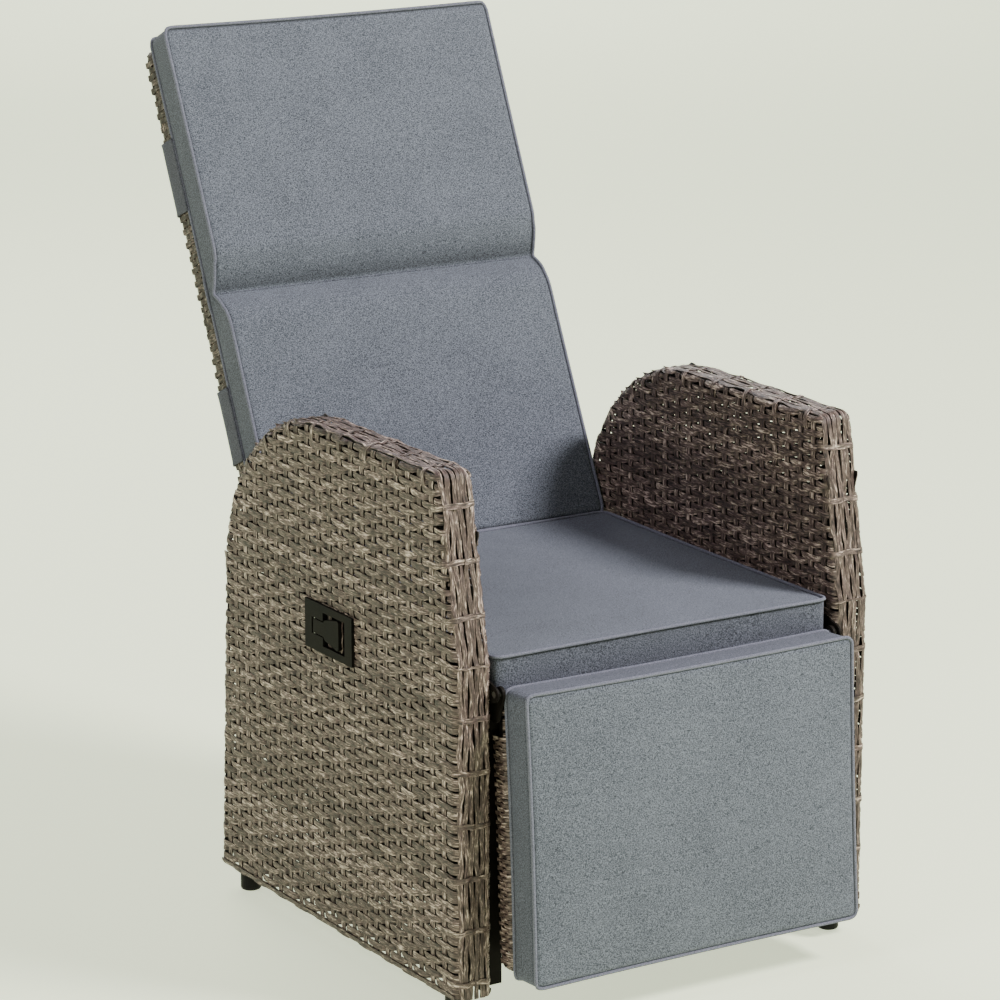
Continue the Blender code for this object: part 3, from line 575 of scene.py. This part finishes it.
def woven_face(edge, stakes, seed, flip=1, holes=(), fine=True):
    """Strips and stakes that fill an outline, in the outline's own two coordinates.

    flip is -1 for a face that is seen with the first coordinate running the other way. A stake is
    measured a hair beside its middle, where no corner of the outline can lie.
    """
    low = min(p.y for p in edge.points)
    high = max(p.y for p in edge.points)
    turned = [flip * s for s in stakes]
    runs = []
    for row in range(int((high - low) / pitch)):
        value = low + (row + 0.5) * pitch
        a, b = edge.across_at(1, value)
        parts = [(a + trim, b - trim)]
        for (hole_a, hole_b), (hole_low, hole_high) in holes:
            if hole_low < value < hole_high:
                parts = [(a + trim, hole_a), (hole_b, b - trim)]
        for a, b in parts:
            if b - a > shortest:
                start, end = sorted((flip * a, flip * b))
                runs.append((bends(start, end, turned, fine), row))
    bm = lay_strips(runs, ribs=2 if fine else 1)
    number_strips(bm, first=seed * 100)
    weave(bm, turned, lambda x, y: edge.distance(flip * x, y + low), seed)
    for number, s in enumerate(stakes):
        bottom, top = edge.across_at(0, s + hair)
        post = stake_strip(bottom + stake_foot - low, top - stake_head - low, number, seed)
        stand = Matrix(((0, -1, 0, flip * s + stake_width / 2), (1, 0, 0, 0),
                        (0, 0, 1, -stake_depth), (0, 0, 0, 1)))
        bmesh.ops.transform(post, matrix=stand, verts=post.verts)
        for v in post.verts:
            v.co.z -= round_drop(edge.distance(flip * v.co.x, v.co.y + low)) * 0.9
        store(post, bm)
    bmesh.ops.translate(bm, verts=bm.verts, vec=(0, low, 0))
    return bm


def store(source, target):
    """Move one bmesh into another, with its map."""
    mesh = mesh_of("moved", source)
    target.from_mesh(mesh)
    bpy.data.meshes.remove(mesh)


# %% [markdown]
# ## Side panels
#
# A side panel is hollow, with a woven face outside and another inside. The outside of the left panel
# leaves an opening for the release handle. Both faces are woven flat in the panel's own outline and
# then stood up on either side of it, so left and right keep the same pattern of stakes.

# %% Faces of the side panels
side_stakes = []
at = front_y + 0.029
while at < rear_y - 0.022:
    side_stakes.append(at)
    at += stake_pitch
housing_low, housing_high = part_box("handle_housing")
opening = ((housing_low[1] + 0.006, housing_high[1] - 0.006),
           (housing_low[2] + 0.004, housing_high[2] - 0.004))
faces = [("outer", "right", 1, outer_x, ()), ("inner", "right", -1, inner_x, ()),
         ("outer", "left", -1, -outer_x, (opening,)), ("inner", "left", 1, -inner_x, ())]
for number, (kind, side, facing, x, holes) in enumerate(faces):
    bm = woven_face(side_edge, side_stakes, seed=number + 1, flip=facing, holes=holes)
    place = axes((0, facing, 0), (0, 0, 1), (facing, 0, 0), (x, 0, 0))
    add_piece(f"{kind}_face_{side}", bm, place, wicker, "base", "wicker", f"{kind}_weave_{side}")

# %% [markdown]
# ## Edge bands
#
# Round the edge of a panel, six strips run lengthwise side by side, a little wavy, and every few
# rows one strip of the weave comes over them and ties them down. The lengthwise strips are laid flat
# and bent along the outline. A tie follows a U over the band: up one face, across and down the
# other, so one function gives the U for the side panels, the back and the footrest.

# %% Helpers for bands and ties
band_pitch = 0.0073
lane = 0.01


def bend_along(bm, edge, width, ties, seed):
    """Bend flat strips (x along, y across) round an outline, into (first, second, across)."""
    chance = random.Random(seed)
    wave = {}
    half = width / 2
    for v in bm.verts:
        row, place = row_of(v.co.y, band_pitch)
        if row not in wave:
            wave[row] = (chance.uniform(0, tau), chance.uniform(0.0007, 0.0012))
        phase, size = wave[row]
        s = v.co.x
        side = v.co.y - half + size * sin(s * 75 + phase) + 0.0004 * sin(s * 190 + phase * 5)
        rise = crowned(v.co.z, place)
        rise += size * 0.7 * sin(s * 95 + phase * 2) + 0.0014 * place * sin(s * 60 + phase * 4)
        for number, tie in enumerate(ties):
            press = 0.0012 if (row + number) % 2 else -0.0009
            rise -= press * max(0, 1 - abs(s - tie) / 0.011)
        rise -= round_drop(edge.half - abs(side))
        point, out = edge.at(s)
        point = point + out * rise
        v.co = (point.x, point.y, side)


def u_shape(q, half, radius, legs, lift):
    """Across and height at a distance along a U that goes over a band of that half width."""
    arc = radius * pi / 2
    top = 2 * (half - radius)
    straight = legs - radius
    mirror = 1
    if q > straight + arc + top / 2:
        q = 2 * (straight + arc) + top - q
        mirror = -1
    if q < straight:
        lift = lift - 0.0022 * smooth_step(1 - q / 0.006)
        return mirror * (half + lift), q - legs
    if q < straight + arc:
        angle = (q - straight) / radius
        return (mirror * (half - radius + (radius + lift) * cos(angle)),
                -radius + (radius + lift) * sin(angle))
    return mirror * (half - radius - (q - straight - arc)), lift


def u_length(half, radius, legs):
    """The whole length of that U."""
    return 2 * (legs - radius) + radius * pi + 2 * (half - radius)


def tie_strips(edge, ties, legs, seed, width=0.0068, lift=0.0011, slant=0.0035,
               radius=corner_radius, step=0.003, loose=0.0, shaded=0.0):
    """Strips that go over a band, each at its distance along the outline and in its own lane."""
    chance = random.Random(seed)
    half = edge.half
    reach = u_length(half, radius, legs)
    bm = lay_strips([(even(0, reach, step), number) for number in range(len(ties))], pitch=lane,
                    width=width, ribs=1)
    number_strips(bm, pitch=lane, first=seed * 100 + 900)
    painted_shade = bm.verts.layers.float["painted_shade"]
    tilt = [chance.uniform(-slant, slant) for _ in ties]
    extra = [chance.uniform(0, loose) for _ in ties]
    for v in bm.verts:
        number, place = row_of(v.co.y, lane)
        # Every tie gets at least this much painted shade.
        v[painted_shade] = max(v[painted_shade], shaded)
        off = v.co.x - reach / 2
        swing = cos(tau * (off / (2 * band_pitch) - 0.25) + pi * number)
        over = 0.0011 * swing if abs(off) < half * 0.8 else 0
        side, rise = u_shape(v.co.x, half, radius, legs, lift + extra[number] + over + v.co.z)
        share = v.co.x / reach - 0.5
        s = ties[number] + place * lane + tilt[number] * share * 2
        s += 0.0006 * sin(v.co.x * 160 + number)
        point, out = edge.at(s)
        point = point + out * rise
        v.co = (point.x, point.y, side)
    return bm


# %% Bands of the side panels
tie_gap = 7.5 * pitch
side_ties = [0.020 + tie_gap * i for i in range(int((side_edge.length - 0.03) / tie_gap) + 1)]
band_rows = 6
for side, sign, seed in (("left", -1, 12), ("right", 1, 11)):
    bm = lay_strips([(even(0, side_edge.length, 0.005), row) for row in range(band_rows)],
                    pitch=band_pitch, width=0.0060)
    number_strips(bm, pitch=band_pitch, first=seed * 100)
    bend_along(bm, side_edge, band_rows * band_pitch, side_ties, seed)
    store(tie_strips(side_edge, side_ties, 0.024, seed), bm)
    place = axes((0, 1, 0), (0, 0, 1), (sign, 0, 0), (sign * middle_x, 0, 0))
    add_piece(f"arm_band_{side}", bm, place, wicker, "base", "wicker", f"edge_band_{side}")

# %% [markdown]
# The lower hem of each face is one strip that runs along the bottom row and is wrapped round it.

# %% Hems
def hem_strip(facing, x, seed):
    length = rear_y - front_y - 0.008
    bm = lay_strips([(even(0, length, 0.006), 0)], width=0.0078)
    number_strips(bm, first=seed * 100)
    for v in bm.verts:
        _, place = row_of(v.co.y)
        v.co.z = crowned(v.co.z, place)
        v.co.z += 0.0012 + 0.0004 * sin(v.co.x * 230)
        v.co.z -= 0.0035 * (0.5 - place) ** 2
    start = front_y + 0.004 if facing > 0 else -(rear_y - 0.004)
    return bm, axes((0, facing, 0), (0, 0, 1), (facing, 0, 0), (x, facing * start, hem_z - 0.001))


for number, (kind, side, facing, x, _) in enumerate(faces):
    bm, place = hem_strip(facing, x, 20 + number)
    add_piece(f"{kind}_hem_{side}", bm, place, wicker, "base", "wicker")

# %% [markdown]
# ## Back panel
#
# Behind the back cushion is a woven panel 32 mm thick on the back's own tubes. Its rear face is
# woven as closely as the arms and its front face, which the cushion hides, with longer steps. At the
# edge every strip of the weave turns forward round the tube, so the edge is uneven, row by row.

# %% Back panel
back_start, back_end = 0.012, 0.704
back_front, back_rear = 0.0473, 0.079
panel_half = inner_x - 0.009
back_edge = Edge([(-panel_half, back_start), (-panel_half, back_end), (panel_half, back_end),
                  (panel_half, back_start)], [0.016, 0.016], half=(back_rear - back_front) / 2)
back_stakes = [stake_pitch * i for i in range(-8, 9)]
rear_place = axes(-across, up_back, behind, seat_line + behind * back_rear)
bm = woven_face(back_edge, back_stakes, seed=31)
add_piece("back_face_rear", bm, rear_place, wicker, "back", "wicker", "back_weave_rear")
bm = woven_face(back_edge, back_stakes, seed=32, fine=False)
front_place = axes(across, up_back, -behind, seat_line + behind * (back_front + 0.0015))
add_piece("back_face_front", bm, front_place, wicker, "back", "wicker", "back_weave_front")
back_ties = [0.006 + pitch * i for i in range(int((back_edge.length - 0.008) / pitch))]
bm = lay_strips([(even(0, back_edge.length, 0.006), row) for row in range(4)], pitch=band_pitch,
                width=0.0066)
number_strips(bm, pitch=band_pitch, first=3300)
bend_along(bm, back_edge, 4 * band_pitch, [], 33)
# The ties round the back panel are darkened all over with painted shade.
store(tie_strips(back_edge, back_ties, 0.016, 34, width=0.0072, radius=0.007, slant=0.0015,
                 step=0.0045, loose=0.0016, shaded=0.62), bm)
wrap_place = axes(across, up_back, behind, seat_line + behind * ((back_front + back_rear) / 2))
add_piece("back_band", bm, wrap_place, wicker, "back", "wicker", "back_edge_wrap")

# %% [markdown]
# ## Footrest panel
#
# The footrest has the same kind of panel, but its edge is closely wrapped: one narrow strip goes
# round and round the tube. The wrap is a row of ties with hardly a gap between them.

# %% Footrest panel
foot_low, foot_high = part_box("footrest_cushion")
print(f"the footrest cushion is {foot_high[0] - foot_low[0]:.3f} wide")
foot_length = 0.361
foot_half = inner_x - 0.013
foot_top = Vector((0, seat_high[1] - 0.563, seat_top - 0.032))
foot_front, foot_rear = 0.0493, 0.079
foot_origin = foot_top - up_foot * foot_length
wrap_start = foot_length - 0.062
foot_edge = Edge([(-foot_half, wrap_start), (-foot_half, 0.009), (foot_half, 0.009),
                  (foot_half, wrap_start)], [0.012, 0.012], half=(foot_rear - foot_front) / 2)
foot_rear_place = axes(-across, up_foot, into_foot, foot_origin + into_foot * foot_rear)
bm = woven_face(foot_edge, back_stakes, seed=41)
add_piece("footrest_face_rear", bm, foot_rear_place, wicker, "footrest", "wicker",
          "footrest_weave_rear")
foot_sheet = Edge([(-foot_half, 0.341), (-foot_half, 0.009), (foot_half, 0.009),
                   (foot_half, 0.341)], [0.012, 0.012])
bm = woven_face(foot_sheet, back_stakes, seed=42, fine=False)
foot_front_place = axes(across, up_foot, -into_foot,
                        foot_origin + into_foot * (foot_front + 0.0015))
add_piece("footrest_face_front", bm, foot_front_place, wicker, "footrest", "wicker",
          "footrest_weave_front")
wrap_gap = 0.0058
wraps = [0.003 + wrap_gap * i for i in range(int((foot_edge.length - 0.004) / wrap_gap))]
bm = tie_strips(foot_edge, wraps, 0.011, 43, width=0.0053, lift=0.0006, slant=0.0004,
                radius=0.007, step=0.004, loose=0.0005)
foot_wrap_place = axes(across, up_foot, into_foot,
                       foot_origin + into_foot * ((foot_front + foot_rear) / 2))
add_piece("footrest_wrap", bm, foot_wrap_place, wicker, "footrest", "wicker",
          "footrest_edge_wrap")

# %% [markdown]
# ## Seat deck
#
# Under the seat cushion lies a woven deck. It shows only from below and through the gaps beside the
# cushion, so its strips bend in longer steps.

# %% Seat deck
deck_low, deck_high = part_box("seat_weave")
deck_edge = Edge([(deck_low[0], deck_low[1]), (deck_low[0], deck_high[1]),
                  (deck_high[0], deck_high[1]), (deck_high[0], deck_low[1])], [0.004, 0.004])
bm = woven_face(deck_edge, back_stakes, seed=51, fine=False)
deck_place = axes((1, 0, 0), (0, 1, 0), (0, 0, 1), (0, 0, deck_high[2] - 0.0008))
add_piece("seat_deck", bm, deck_place, wicker, "base", "wicker", "seat_weave")

# %% [markdown]
# ## Cushion cloth
#
# The covers are a slate melange: light and dark yarns spun together, so the colour is uneven at the
# size of a thread and again, faintly, at the size of a hand. The threads also make the surface rough
# and give it a soft sheen. The sheen and its tint are the same everywhere, so they sit on the
# shader's own sockets.

# %% Cloth materials
def cloth_material(name, dark, light, thread=0.0011):
    look, tree, shader = node_material(name)
    coordinates = tree.nodes.new("ShaderNodeTexCoord")
    place = coordinates.outputs["Object"]
    yarn = noise(tree, mapped(tree, place, (1, 1, 0.6)), 1.1 / thread, 1.0, 0.5)
    cross = noise(tree, mapped(tree, place, (0.6, 1, 1)), 0.95 / thread, 1.0, 0.5)
    hand = noise(tree, place, 14.0, 2.0)
    mixed = math_node(tree, "MULTIPLY", yarn, 0.50)
    mixed = math_node(tree, "ADD", mixed, math_node(tree, "MULTIPLY", cross, 0.44))
    mixed = math_node(tree, "ADD", mixed, math_node(tree, "MULTIPLY", hand, 0.06))
    colour = ramp(tree, mixed, [(0.38, dark), (0.62, light)])
    # Painted shade darkens the cover beside its seams and around a fold.
    link(tree, darkened_by_painted_shade(tree, colour), shader.inputs["Base Color"])
    shader.inputs["Roughness"].default_value = 0.92
    shader.inputs["Specular IOR Level"].default_value = 0.2
    shader.inputs["Sheen Weight"].default_value = 0.12
    shader.inputs["Sheen Roughness"].default_value = 0.6
    shader.inputs["Sheen Tint"].default_value = (0.75, 0.80, 0.9, 1)
    bump(tree, math_node(tree, "ADD", yarn, cross), 0.5, 0.0005, shader)
    return look


cloth = cloth_material("cushion_cloth", (0.020, 0.023, 0.032), (0.138, 0.152, 0.190))
# A darker copy of the cover cloth: painted shade for the cushions' borders and for the seam in the
# back's fold.
painted_shade_cloth = cloth_material("cushion_cloth_painted_shade", (0.015, 0.017, 0.025), (0.116, 0.124, 0.162))
piping_cloth = cloth_material("piping_cloth", (0.056, 0.058, 0.082), (0.165, 0.170, 0.220), 0.0008)
strap_cloth = cloth_material("strap_cloth", (0.016, 0.016, 0.024), (0.082, 0.084, 0.112), 0.0012)
print("made", cloth.name, painted_shade_cloth.name, piping_cloth.name, strap_cloth.name)

# %% [markdown]
# ## Cushions
#
# Each cushion is a box cushion: a face, a back, a border between them, and piping sewn into both
# seams. It could be modelled by hand, but the way foam fills a cover is easier to get from a cloth
# simulation. A slightly small box is remeshed evenly, its seams are held, and pressure swells the
# panels between them. The sides of the box already draw in a little between the corners, as the
# seams of a filled cover do. The piping is swept afterwards along the same seams, in a small groove.

# %% Seams and folds
def fitted(p, half_x, half_y, half_z, amount, folds):
    """Draw a point of a plain box in towards the shape of a filled cover.

    A fold is (its place along y, its depth, how far it reaches to either side).
    """
    pull_x = amount * (1 - min(abs(p.y) / half_y, 1) ** 2) * p.x / half_x
    pull_y = amount * (1 - min(abs(p.x) / half_x, 1) ** 2) * p.y / half_y
    sink = 0
    for fold, depth, reach in folds:
        near = max(0, 1 - abs(p.y - fold) / reach)
        sink += depth * near ** (1.4 if p.y > fold else 2.4) * (p.z + half_z) / (2 * half_z)
    return Vector((p.x - pull_x, p.y - pull_y, p.z - sink))


def seam_ring(half_x, half_y, z, radius, draw_in, folds, spacing=0.002):
    """Points of a rounded rectangle, drawn in between its corners and sunk at its folds."""
    edge = Edge([(0, -half_y), (half_x, -half_y), (half_x, half_y), (-half_x, half_y),
                 (-half_x, -half_y), (0, -half_y)], [radius] * 4)
    count = round(edge.length / spacing)
    points = []
    for i in range(count):
        p, _ = edge.at(edge.length * i / count)
        points.append(fitted(Vector((p.x, p.y, z)), half_x, half_y, abs(z), draw_in, folds))
    return points


def tree_of(points):
    """A tree that finds the nearest of these points."""
    tree = KDTree(len(points))
    for i, p in enumerate(points):
        tree.insert(p, i)
    tree.balance()
    return tree


# %% [markdown]
# The cover starts as a cube, scaled, with its four upright edges bevelled. The voxel remesh gives it
# even faces, which the cloth needs. Twenty steps of pressure swell it, and a cap on how far a point
# may move keeps it inside its place between the arms.

# %% Swell a cover
def baked(piece):
    """Replace a piece's mesh by what its modifiers make of it."""
    graph = bpy.context.evaluated_depsgraph_get()
    mesh = bpy.data.meshes.new_from_object(piece.evaluated_get(graph))
    piece.modifiers.clear()
    piece.data = mesh
    return piece


def plain_box(name, half_x, half_y, half_z, radius, voxel):
    """A box with rounded upright edges and even faces."""
    bm = bmesh.new()
    bmesh.ops.create_cube(bm, size=2)
    bmesh.ops.scale(bm, verts=bm.verts, vec=(half_x, half_y, half_z))
    upright = [e for e in bm.edges if abs(e.verts[0].co.z - e.verts[1].co.z) > half_z]
    bmesh.ops.bevel(bm, geom=upright, offset=radius, segments=5, profile=0.5, affect="EDGES",
                    material=-1)
    piece = linked(name, mesh_of(name, bm))
    remesh = piece.modifiers.new("remesh", "REMESH")
    remesh.mode = "VOXEL"
    remesh.voxel_size = voxel
    return baked(piece)


def inflate(piece, held, pressure, cap):
    """Swell a piece with cloth pressure. The held points stay, and none moves past the cap."""
    before = [v.co.copy() for v in piece.data.vertices]
    group = piece.vertex_groups.new(name="held")
    group.add(held, 1.0, "REPLACE")
    modifier = piece.modifiers.new("cloth", "CLOTH")
    settings = modifier.settings
    settings.quality = 5
    settings.mass = 0.3
    settings.tension_stiffness = 15
    settings.compression_stiffness = 15
    settings.shear_stiffness = 5
    settings.bending_stiffness = 0.5
    settings.use_pressure = True
    settings.uniform_pressure_force = pressure
    settings.effector_weights.gravity = 0
    settings.vertex_group_mass = "held"
    modifier.collision_settings.use_collision = False
    modifier.point_cache.frame_start = 1
    modifier.point_cache.frame_end = 20
    for number in range(1, 21):
        bpy.context.scene.frame_set(number)
    baked(piece)
    bpy.context.scene.frame_set(1)
    for v, old in zip(piece.data.vertices, before):
        move = v.co - old
        if move.length > cap:
            v.co = old + move.normalized() * cap
    piece.vertex_groups.clear()


# %% [markdown]
# Soft light hardly darkens a narrow crease, so each cover stores how hidden its places are, as the
# woven strips do, and its colour gets painted shade there: beside the seams, and above and below a
# fold.

# %% Shade the creases
def shade_creases(piece, rings, folds, half_z):
    """Store how hidden each place of a cover is, for the painted shade of its colour."""
    seams = tree_of(rings[0] + rings[1])
    painted_shade = piece.data.attributes.new("painted_shade", "FLOAT", "POINT")
    for v in piece.data.vertices:
        _, _, far = seams.find(v.co)
        on_border = abs(v.co.z) < half_z - 0.0012
        hidden = 0.75 * smooth_step(1.4 - far / 0.0045) if on_border else 0
        for fold, _, _ in folds:
            up = v.co.y - fold
            above = 0.60 * max(0, 1 - up / 0.032) ** 1.4
            below = 0.5 * max(0, 1 + up / 0.005)
            shade = above if up > 0 else below
            hidden = max(hidden, shade if v.co.z > -half_z * 0.2 else 0)
        painted_shade.data[v.index].value = hidden


# %% [markdown]
# A piping is a curve through the seam's points with a round bevel, turned into a mesh.

# %% Piping
cord_out = 0.0014


def cord_path(surface, ring, rise, half_x, half_y):
    """The middle of a seam's cord, a little outside the corner of the cover."""
    path = []
    for p in ring[::2]:
        touch, _, _, _ = surface.find_nearest(p)
        out = Vector((p.x if abs(p.x) > half_x * 0.97 else 0,
                      p.y if abs(p.y) > half_y * 0.98 else 0, 0))
        path.append(touch + (out.normalized() + Vector((0, 0, rise))) * cord_out)
    return path


def piping(name, path, place, body, radius=0.0022, look=piping_cloth, closed=True):
    """A sewn cord along a seam, as a mesh tube."""
    curve = bpy.data.curves.new(name, "CURVE")
    curve.dimensions = "3D"
    curve.bevel_depth = radius
    curve.bevel_resolution = 2
    spline = curve.splines.new("POLY")
    spline.points.add(len(path) - 1)
    for target, point in zip(spline.points, path):
        target.co = (*(place @ point), 1)
    spline.use_cyclic_u = closed
    curve.use_fill_caps = not closed
    tube = linked(name, curve)
    graph = bpy.context.evaluated_depsgraph_get()
    mesh = bpy.data.meshes.new_from_object(tube.evaluated_get(graph))
    bpy.data.objects.remove(tube)
    mesh.name = name
    mesh.shade_smooth()
    mesh.materials.clear()
    mesh.materials.append(look)
    piece = linked(name, mesh)
    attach(piece, body)
    whole = path + path[:1] if closed else path
    length = sum((b - a).length for a, b in zip(whole, whole[1:]))
    print(f"{name}: {length:.2f} m long")


# %% [markdown]
# One function makes a cushion in its own frame, with its width along x, its length along y and its
# face up, and then lays it in its place. Points near a seam are moved onto it and held while the
# cover swells. Afterwards a small groove is pressed in along the seams, and the piping lies in it.

# %% Make a cushion
allowance = 0.0006
groove_reach, groove_depth = 0.006, 0.0018
face_from = 0.55


def cushion(name, size, place, body, replaced, folds=(), voxel=0.006, pressure=4.0, cap=0.008,
            radius=0.009, draw_in=0.0018):
    """A filled cover with the given width, length and thickness."""
    half_x, half_y, half_z = [side / 2 - allowance for side in size]
    shape = (half_x, half_y, half_z, draw_in, folds)
    piece = plain_box(name, half_x, half_y, half_z, radius, voxel)
    rings = [seam_ring(half_x, half_y, z, radius, draw_in, folds) for z in (half_z, -half_z)]
    creases = []
    for fold, _, _ in folds:
        line = [Vector((-half_x + 2 * half_x * i / 200, fold, half_z)) for i in range(201)]
        creases += [fitted(p, *shape) for p in line]
    seams = tree_of(rings[0] + rings[1] + creases)
    held = []
    for v in piece.data.vertices:
        v.co = fitted(v.co, *shape)
        near, _, far = seams.find(v.co)
        if far < voxel * 0.8:
            v.co = near
            held.append(v.index)
    inflate(piece, held, pressure, cap)
    subdivide = piece.modifiers.new("smooth", "SUBSURF")
    subdivide.levels = subdivide.render_levels = 1
    baked(piece)
    for v in piece.data.vertices:
        _, _, far = seams.find(v.co)
        if far < groove_reach:
            inward = Vector((-v.co.x, -v.co.y, 0)).normalized() * 0.4
            inward += Vector((0, 0, -v.co.z / half_z))
            v.co += inward * groove_depth * smooth_step(1 - far / groove_reach)
    shade_creases(piece, rings, folds, half_z)
    surface = BVHTree.FromObject(piece, bpy.context.evaluated_depsgraph_get())
    fold_line = [surface.find_nearest(p)[0] + Vector((0, 0, 0.0004)) for p in creases[4:-4:4]]
    paths = [cord_path(surface, ring, rise, half_x, half_y) for ring, rise in zip(rings, (1, -1))]
    piece.data.transform(place)
    piece.data.shade_smooth()
    # The border faces get the darker copy of the cloth, a painted shade on the cushion's sides.
    piece.data.materials.append(cloth)
    piece.data.materials.append(painted_shade_cloth)
    upward = place.to_3x3() @ Vector((0, 0, 1))
    for face in piece.data.polygons:
        face.material_index = 0 if abs(face.normal.dot(upward)) > face_from else 1
    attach(piece, body)
    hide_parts(replaced)
    print(f"{name}: {len(piece.data.polygons)} faces")
    for number, path in enumerate(paths):
        piping(f"{name}_piping_{number + 1}", path, place, body)
    if folds:
        # The fold's seam is a sewn cord in the darker copy of the cloth, painted shade in the
        # crease.
        piping(f"{name}_fold_seam", fold_line, place, body, 0.0010, painted_shade_cloth, closed=False)


# %% Seat cushion
seat_size = [high - low for low, high in zip(seat_low, seat_high)]
seat_middle = (Vector(seat_low) + Vector(seat_high)) / 2
cushion("seat_pad", seat_size, Matrix.Translation(seat_middle), "base", "seat_cushion")

# %% [markdown]
# The back cushion is one cover with a deep fold across it, a little above its middle, where it
# bends. The seam of the fold pulls the front piping almost to the rear one at either side. Its lower
# end presses a few millimetres into the seat cushion.

# %% Back cushion
back_length, back_thick = 0.714, 0.047
back_size = (2 * (inner_x - 0.004), back_length + 0.004, back_thick)
back_middle = seat_line + up_back * (back_length - 0.004) / 2 + behind * back_thick / 2
cushion("back_pad", back_size, axes(across, up_back, -behind, back_middle), "back",
        "back_cushion", folds=((0.006, 0.030, 0.055),), voxel=0.0065)

# %% Footrest cushion
foot_thick = 0.049
foot_size = (2 * foot_half, foot_length, foot_thick)
foot_middle = foot_top - up_foot * foot_length / 2 + into_foot * foot_thick / 2
cushion("footrest_pad", foot_size, axes(across, up_foot, -into_foot, foot_middle), "footrest",
        "footrest_cushion")

# %% [markdown]
# ## Straps
#
# Two wide bands of a darker cloth hold the cushion to the back. Each goes round the woven panel and
# is sewn to the cushion's border on either side. It is a sheet pulled tight, so its cut size is its
# width and its length round the panel.

# %% Straps
def strap(name, middle, replaced, seed):
    """A tight band round the back panel, at a distance up the back."""
    width, lift, sewn = 0.098, 0.0036, 0.044
    corner = Edge([(-panel_half - lift, sewn), (-panel_half - lift, back_rear + lift),
                   (panel_half + lift, back_rear + lift), (panel_half + lift, sewn)],
                  [0.010, 0.010])
    bm = bmesh.new()
    bmesh.ops.create_grid(bm, x_segments=120, y_segments=16, size=1)
    phase = random.Random(seed).uniform(0, tau)
    for v in bm.verts:
        s = (v.co.x + 1) / 2 * corner.length
        side = v.co.y * width / 2
        point, out = corner.at(s)
        rise = 0.0007 * sin(s * 24 + phase) * cos(v.co.y * 1.2) + 0.0004 * sin(s * 61)
        rise += 0.0006 * smooth_step((abs(v.co.y) - 0.86) / 0.08)
        point = point + out * rise
        v.co = (point.x, side + 0.0008 * sin(s * 17 + phase), point.y)
    place = axes(across, up_back, behind, seat_line + up_back * middle)
    bmesh.ops.transform(bm, matrix=place, verts=bm.verts)
    bmesh.ops.recalc_face_normals(bm, faces=bm.faces)
    outward = sum(1 if f.normal.dot(behind) > 0 else -1 for f in bm.faces)
    if outward < 0:
        bmesh.ops.reverse_faces(bm, faces=bm.faces)
    mesh = mesh_of(name, bm)
    mesh.shade_smooth()
    mesh.materials.append(strap_cloth)
    piece = linked(name, mesh)
    wall = piece.modifiers.new("thickness", "SOLIDIFY")
    wall.thickness = 0.0014
    wall.offset = 1
    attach(piece, "back")
    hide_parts(replaced)
    print(f"{name}: {width:.3f} by {corner.length:.3f} m")


strap("strap_low", 0.192, "strap_lower", 61)
strap("strap_high", 0.5285, "strap_upper", 62)

# %% [markdown]
# ## Metal and plastic
#
# The tubes are powder coated: a dark brown with a fine orange peel. The fasteners are zinc plated,
# the rod of the gas spring is polished, the handle is a grained moulding and the feet are smooth.
# These nodes keep their shape from the frame and only get a finish.

# %% Finishes for the hard parts
def hard_material(name, base, light, rough, metallic, grain, height, spread=0.08):
    look, tree, shader = node_material(name)
    coordinates = tree.nodes.new("ShaderNodeTexCoord")
    place = coordinates.outputs["Object"]
    wear = noise(tree, place, 24.0, 3.0)
    fine = noise(tree, place, grain, 2.0)
    link(tree, ramp(tree, wear, [(0.35, base), (0.70, light)]), shader.inputs["Base Color"])
    uneven = math_node(tree, "ADD", math_node(tree, "MULTIPLY", wear, spread), rough)
    link(tree, uneven, shader.inputs["Roughness"])
    shader.inputs["Metallic"].default_value = metallic
    shader.inputs["Specular IOR Level"].default_value = 0.5 if metallic else 0.06
    bump(tree, fine, 0.35, height, shader)
    return look


finishes = {
    "coated_metal": hard_material("powder_coat", (0.006, 0.005, 0.004), (0.011, 0.009, 0.008),
                                  rough=0.55, metallic=0.0, grain=900.0, height=0.0003),
    "zinc": hard_material("zinc_plate", (0.42, 0.42, 0.41), (0.60, 0.60, 0.58),
                          rough=0.28, metallic=1.0, grain=500.0, height=0.0001),
    "chrome": hard_material("polished_rod", (0.72, 0.72, 0.73), (0.80, 0.80, 0.80), rough=0.10,
                            metallic=1.0, grain=300.0, height=0.00003, spread=0.04),
    "handle_plastic": hard_material("grained_plastic", (0.003, 0.003, 0.003),
                                    (0.007, 0.006, 0.005), rough=0.55, metallic=0.0,
                                    grain=1400.0, height=0.0004),
    "glide_plastic": hard_material("smooth_plastic", (0.010, 0.010, 0.010),
                                   (0.018, 0.018, 0.017), rough=0.36, metallic=0.0,
                                   grain=700.0, height=0.0001),
    "cable_sheath": hard_material("cable_plastic", (0.010, 0.010, 0.010),
                                  (0.020, 0.020, 0.020), rough=0.45, metallic=0.0,
                                  grain=800.0, height=0.0001),
}
shown = 0
for entry in frame["record"]["subparts"]:
    finish = finishes.get(entry["material_slot"])
    if finish:
        for holder in nodes[entry["node"]].material_slots:
            holder.material = finish
        shown += 1
print(f"{shown} nodes of the frame got a finish")
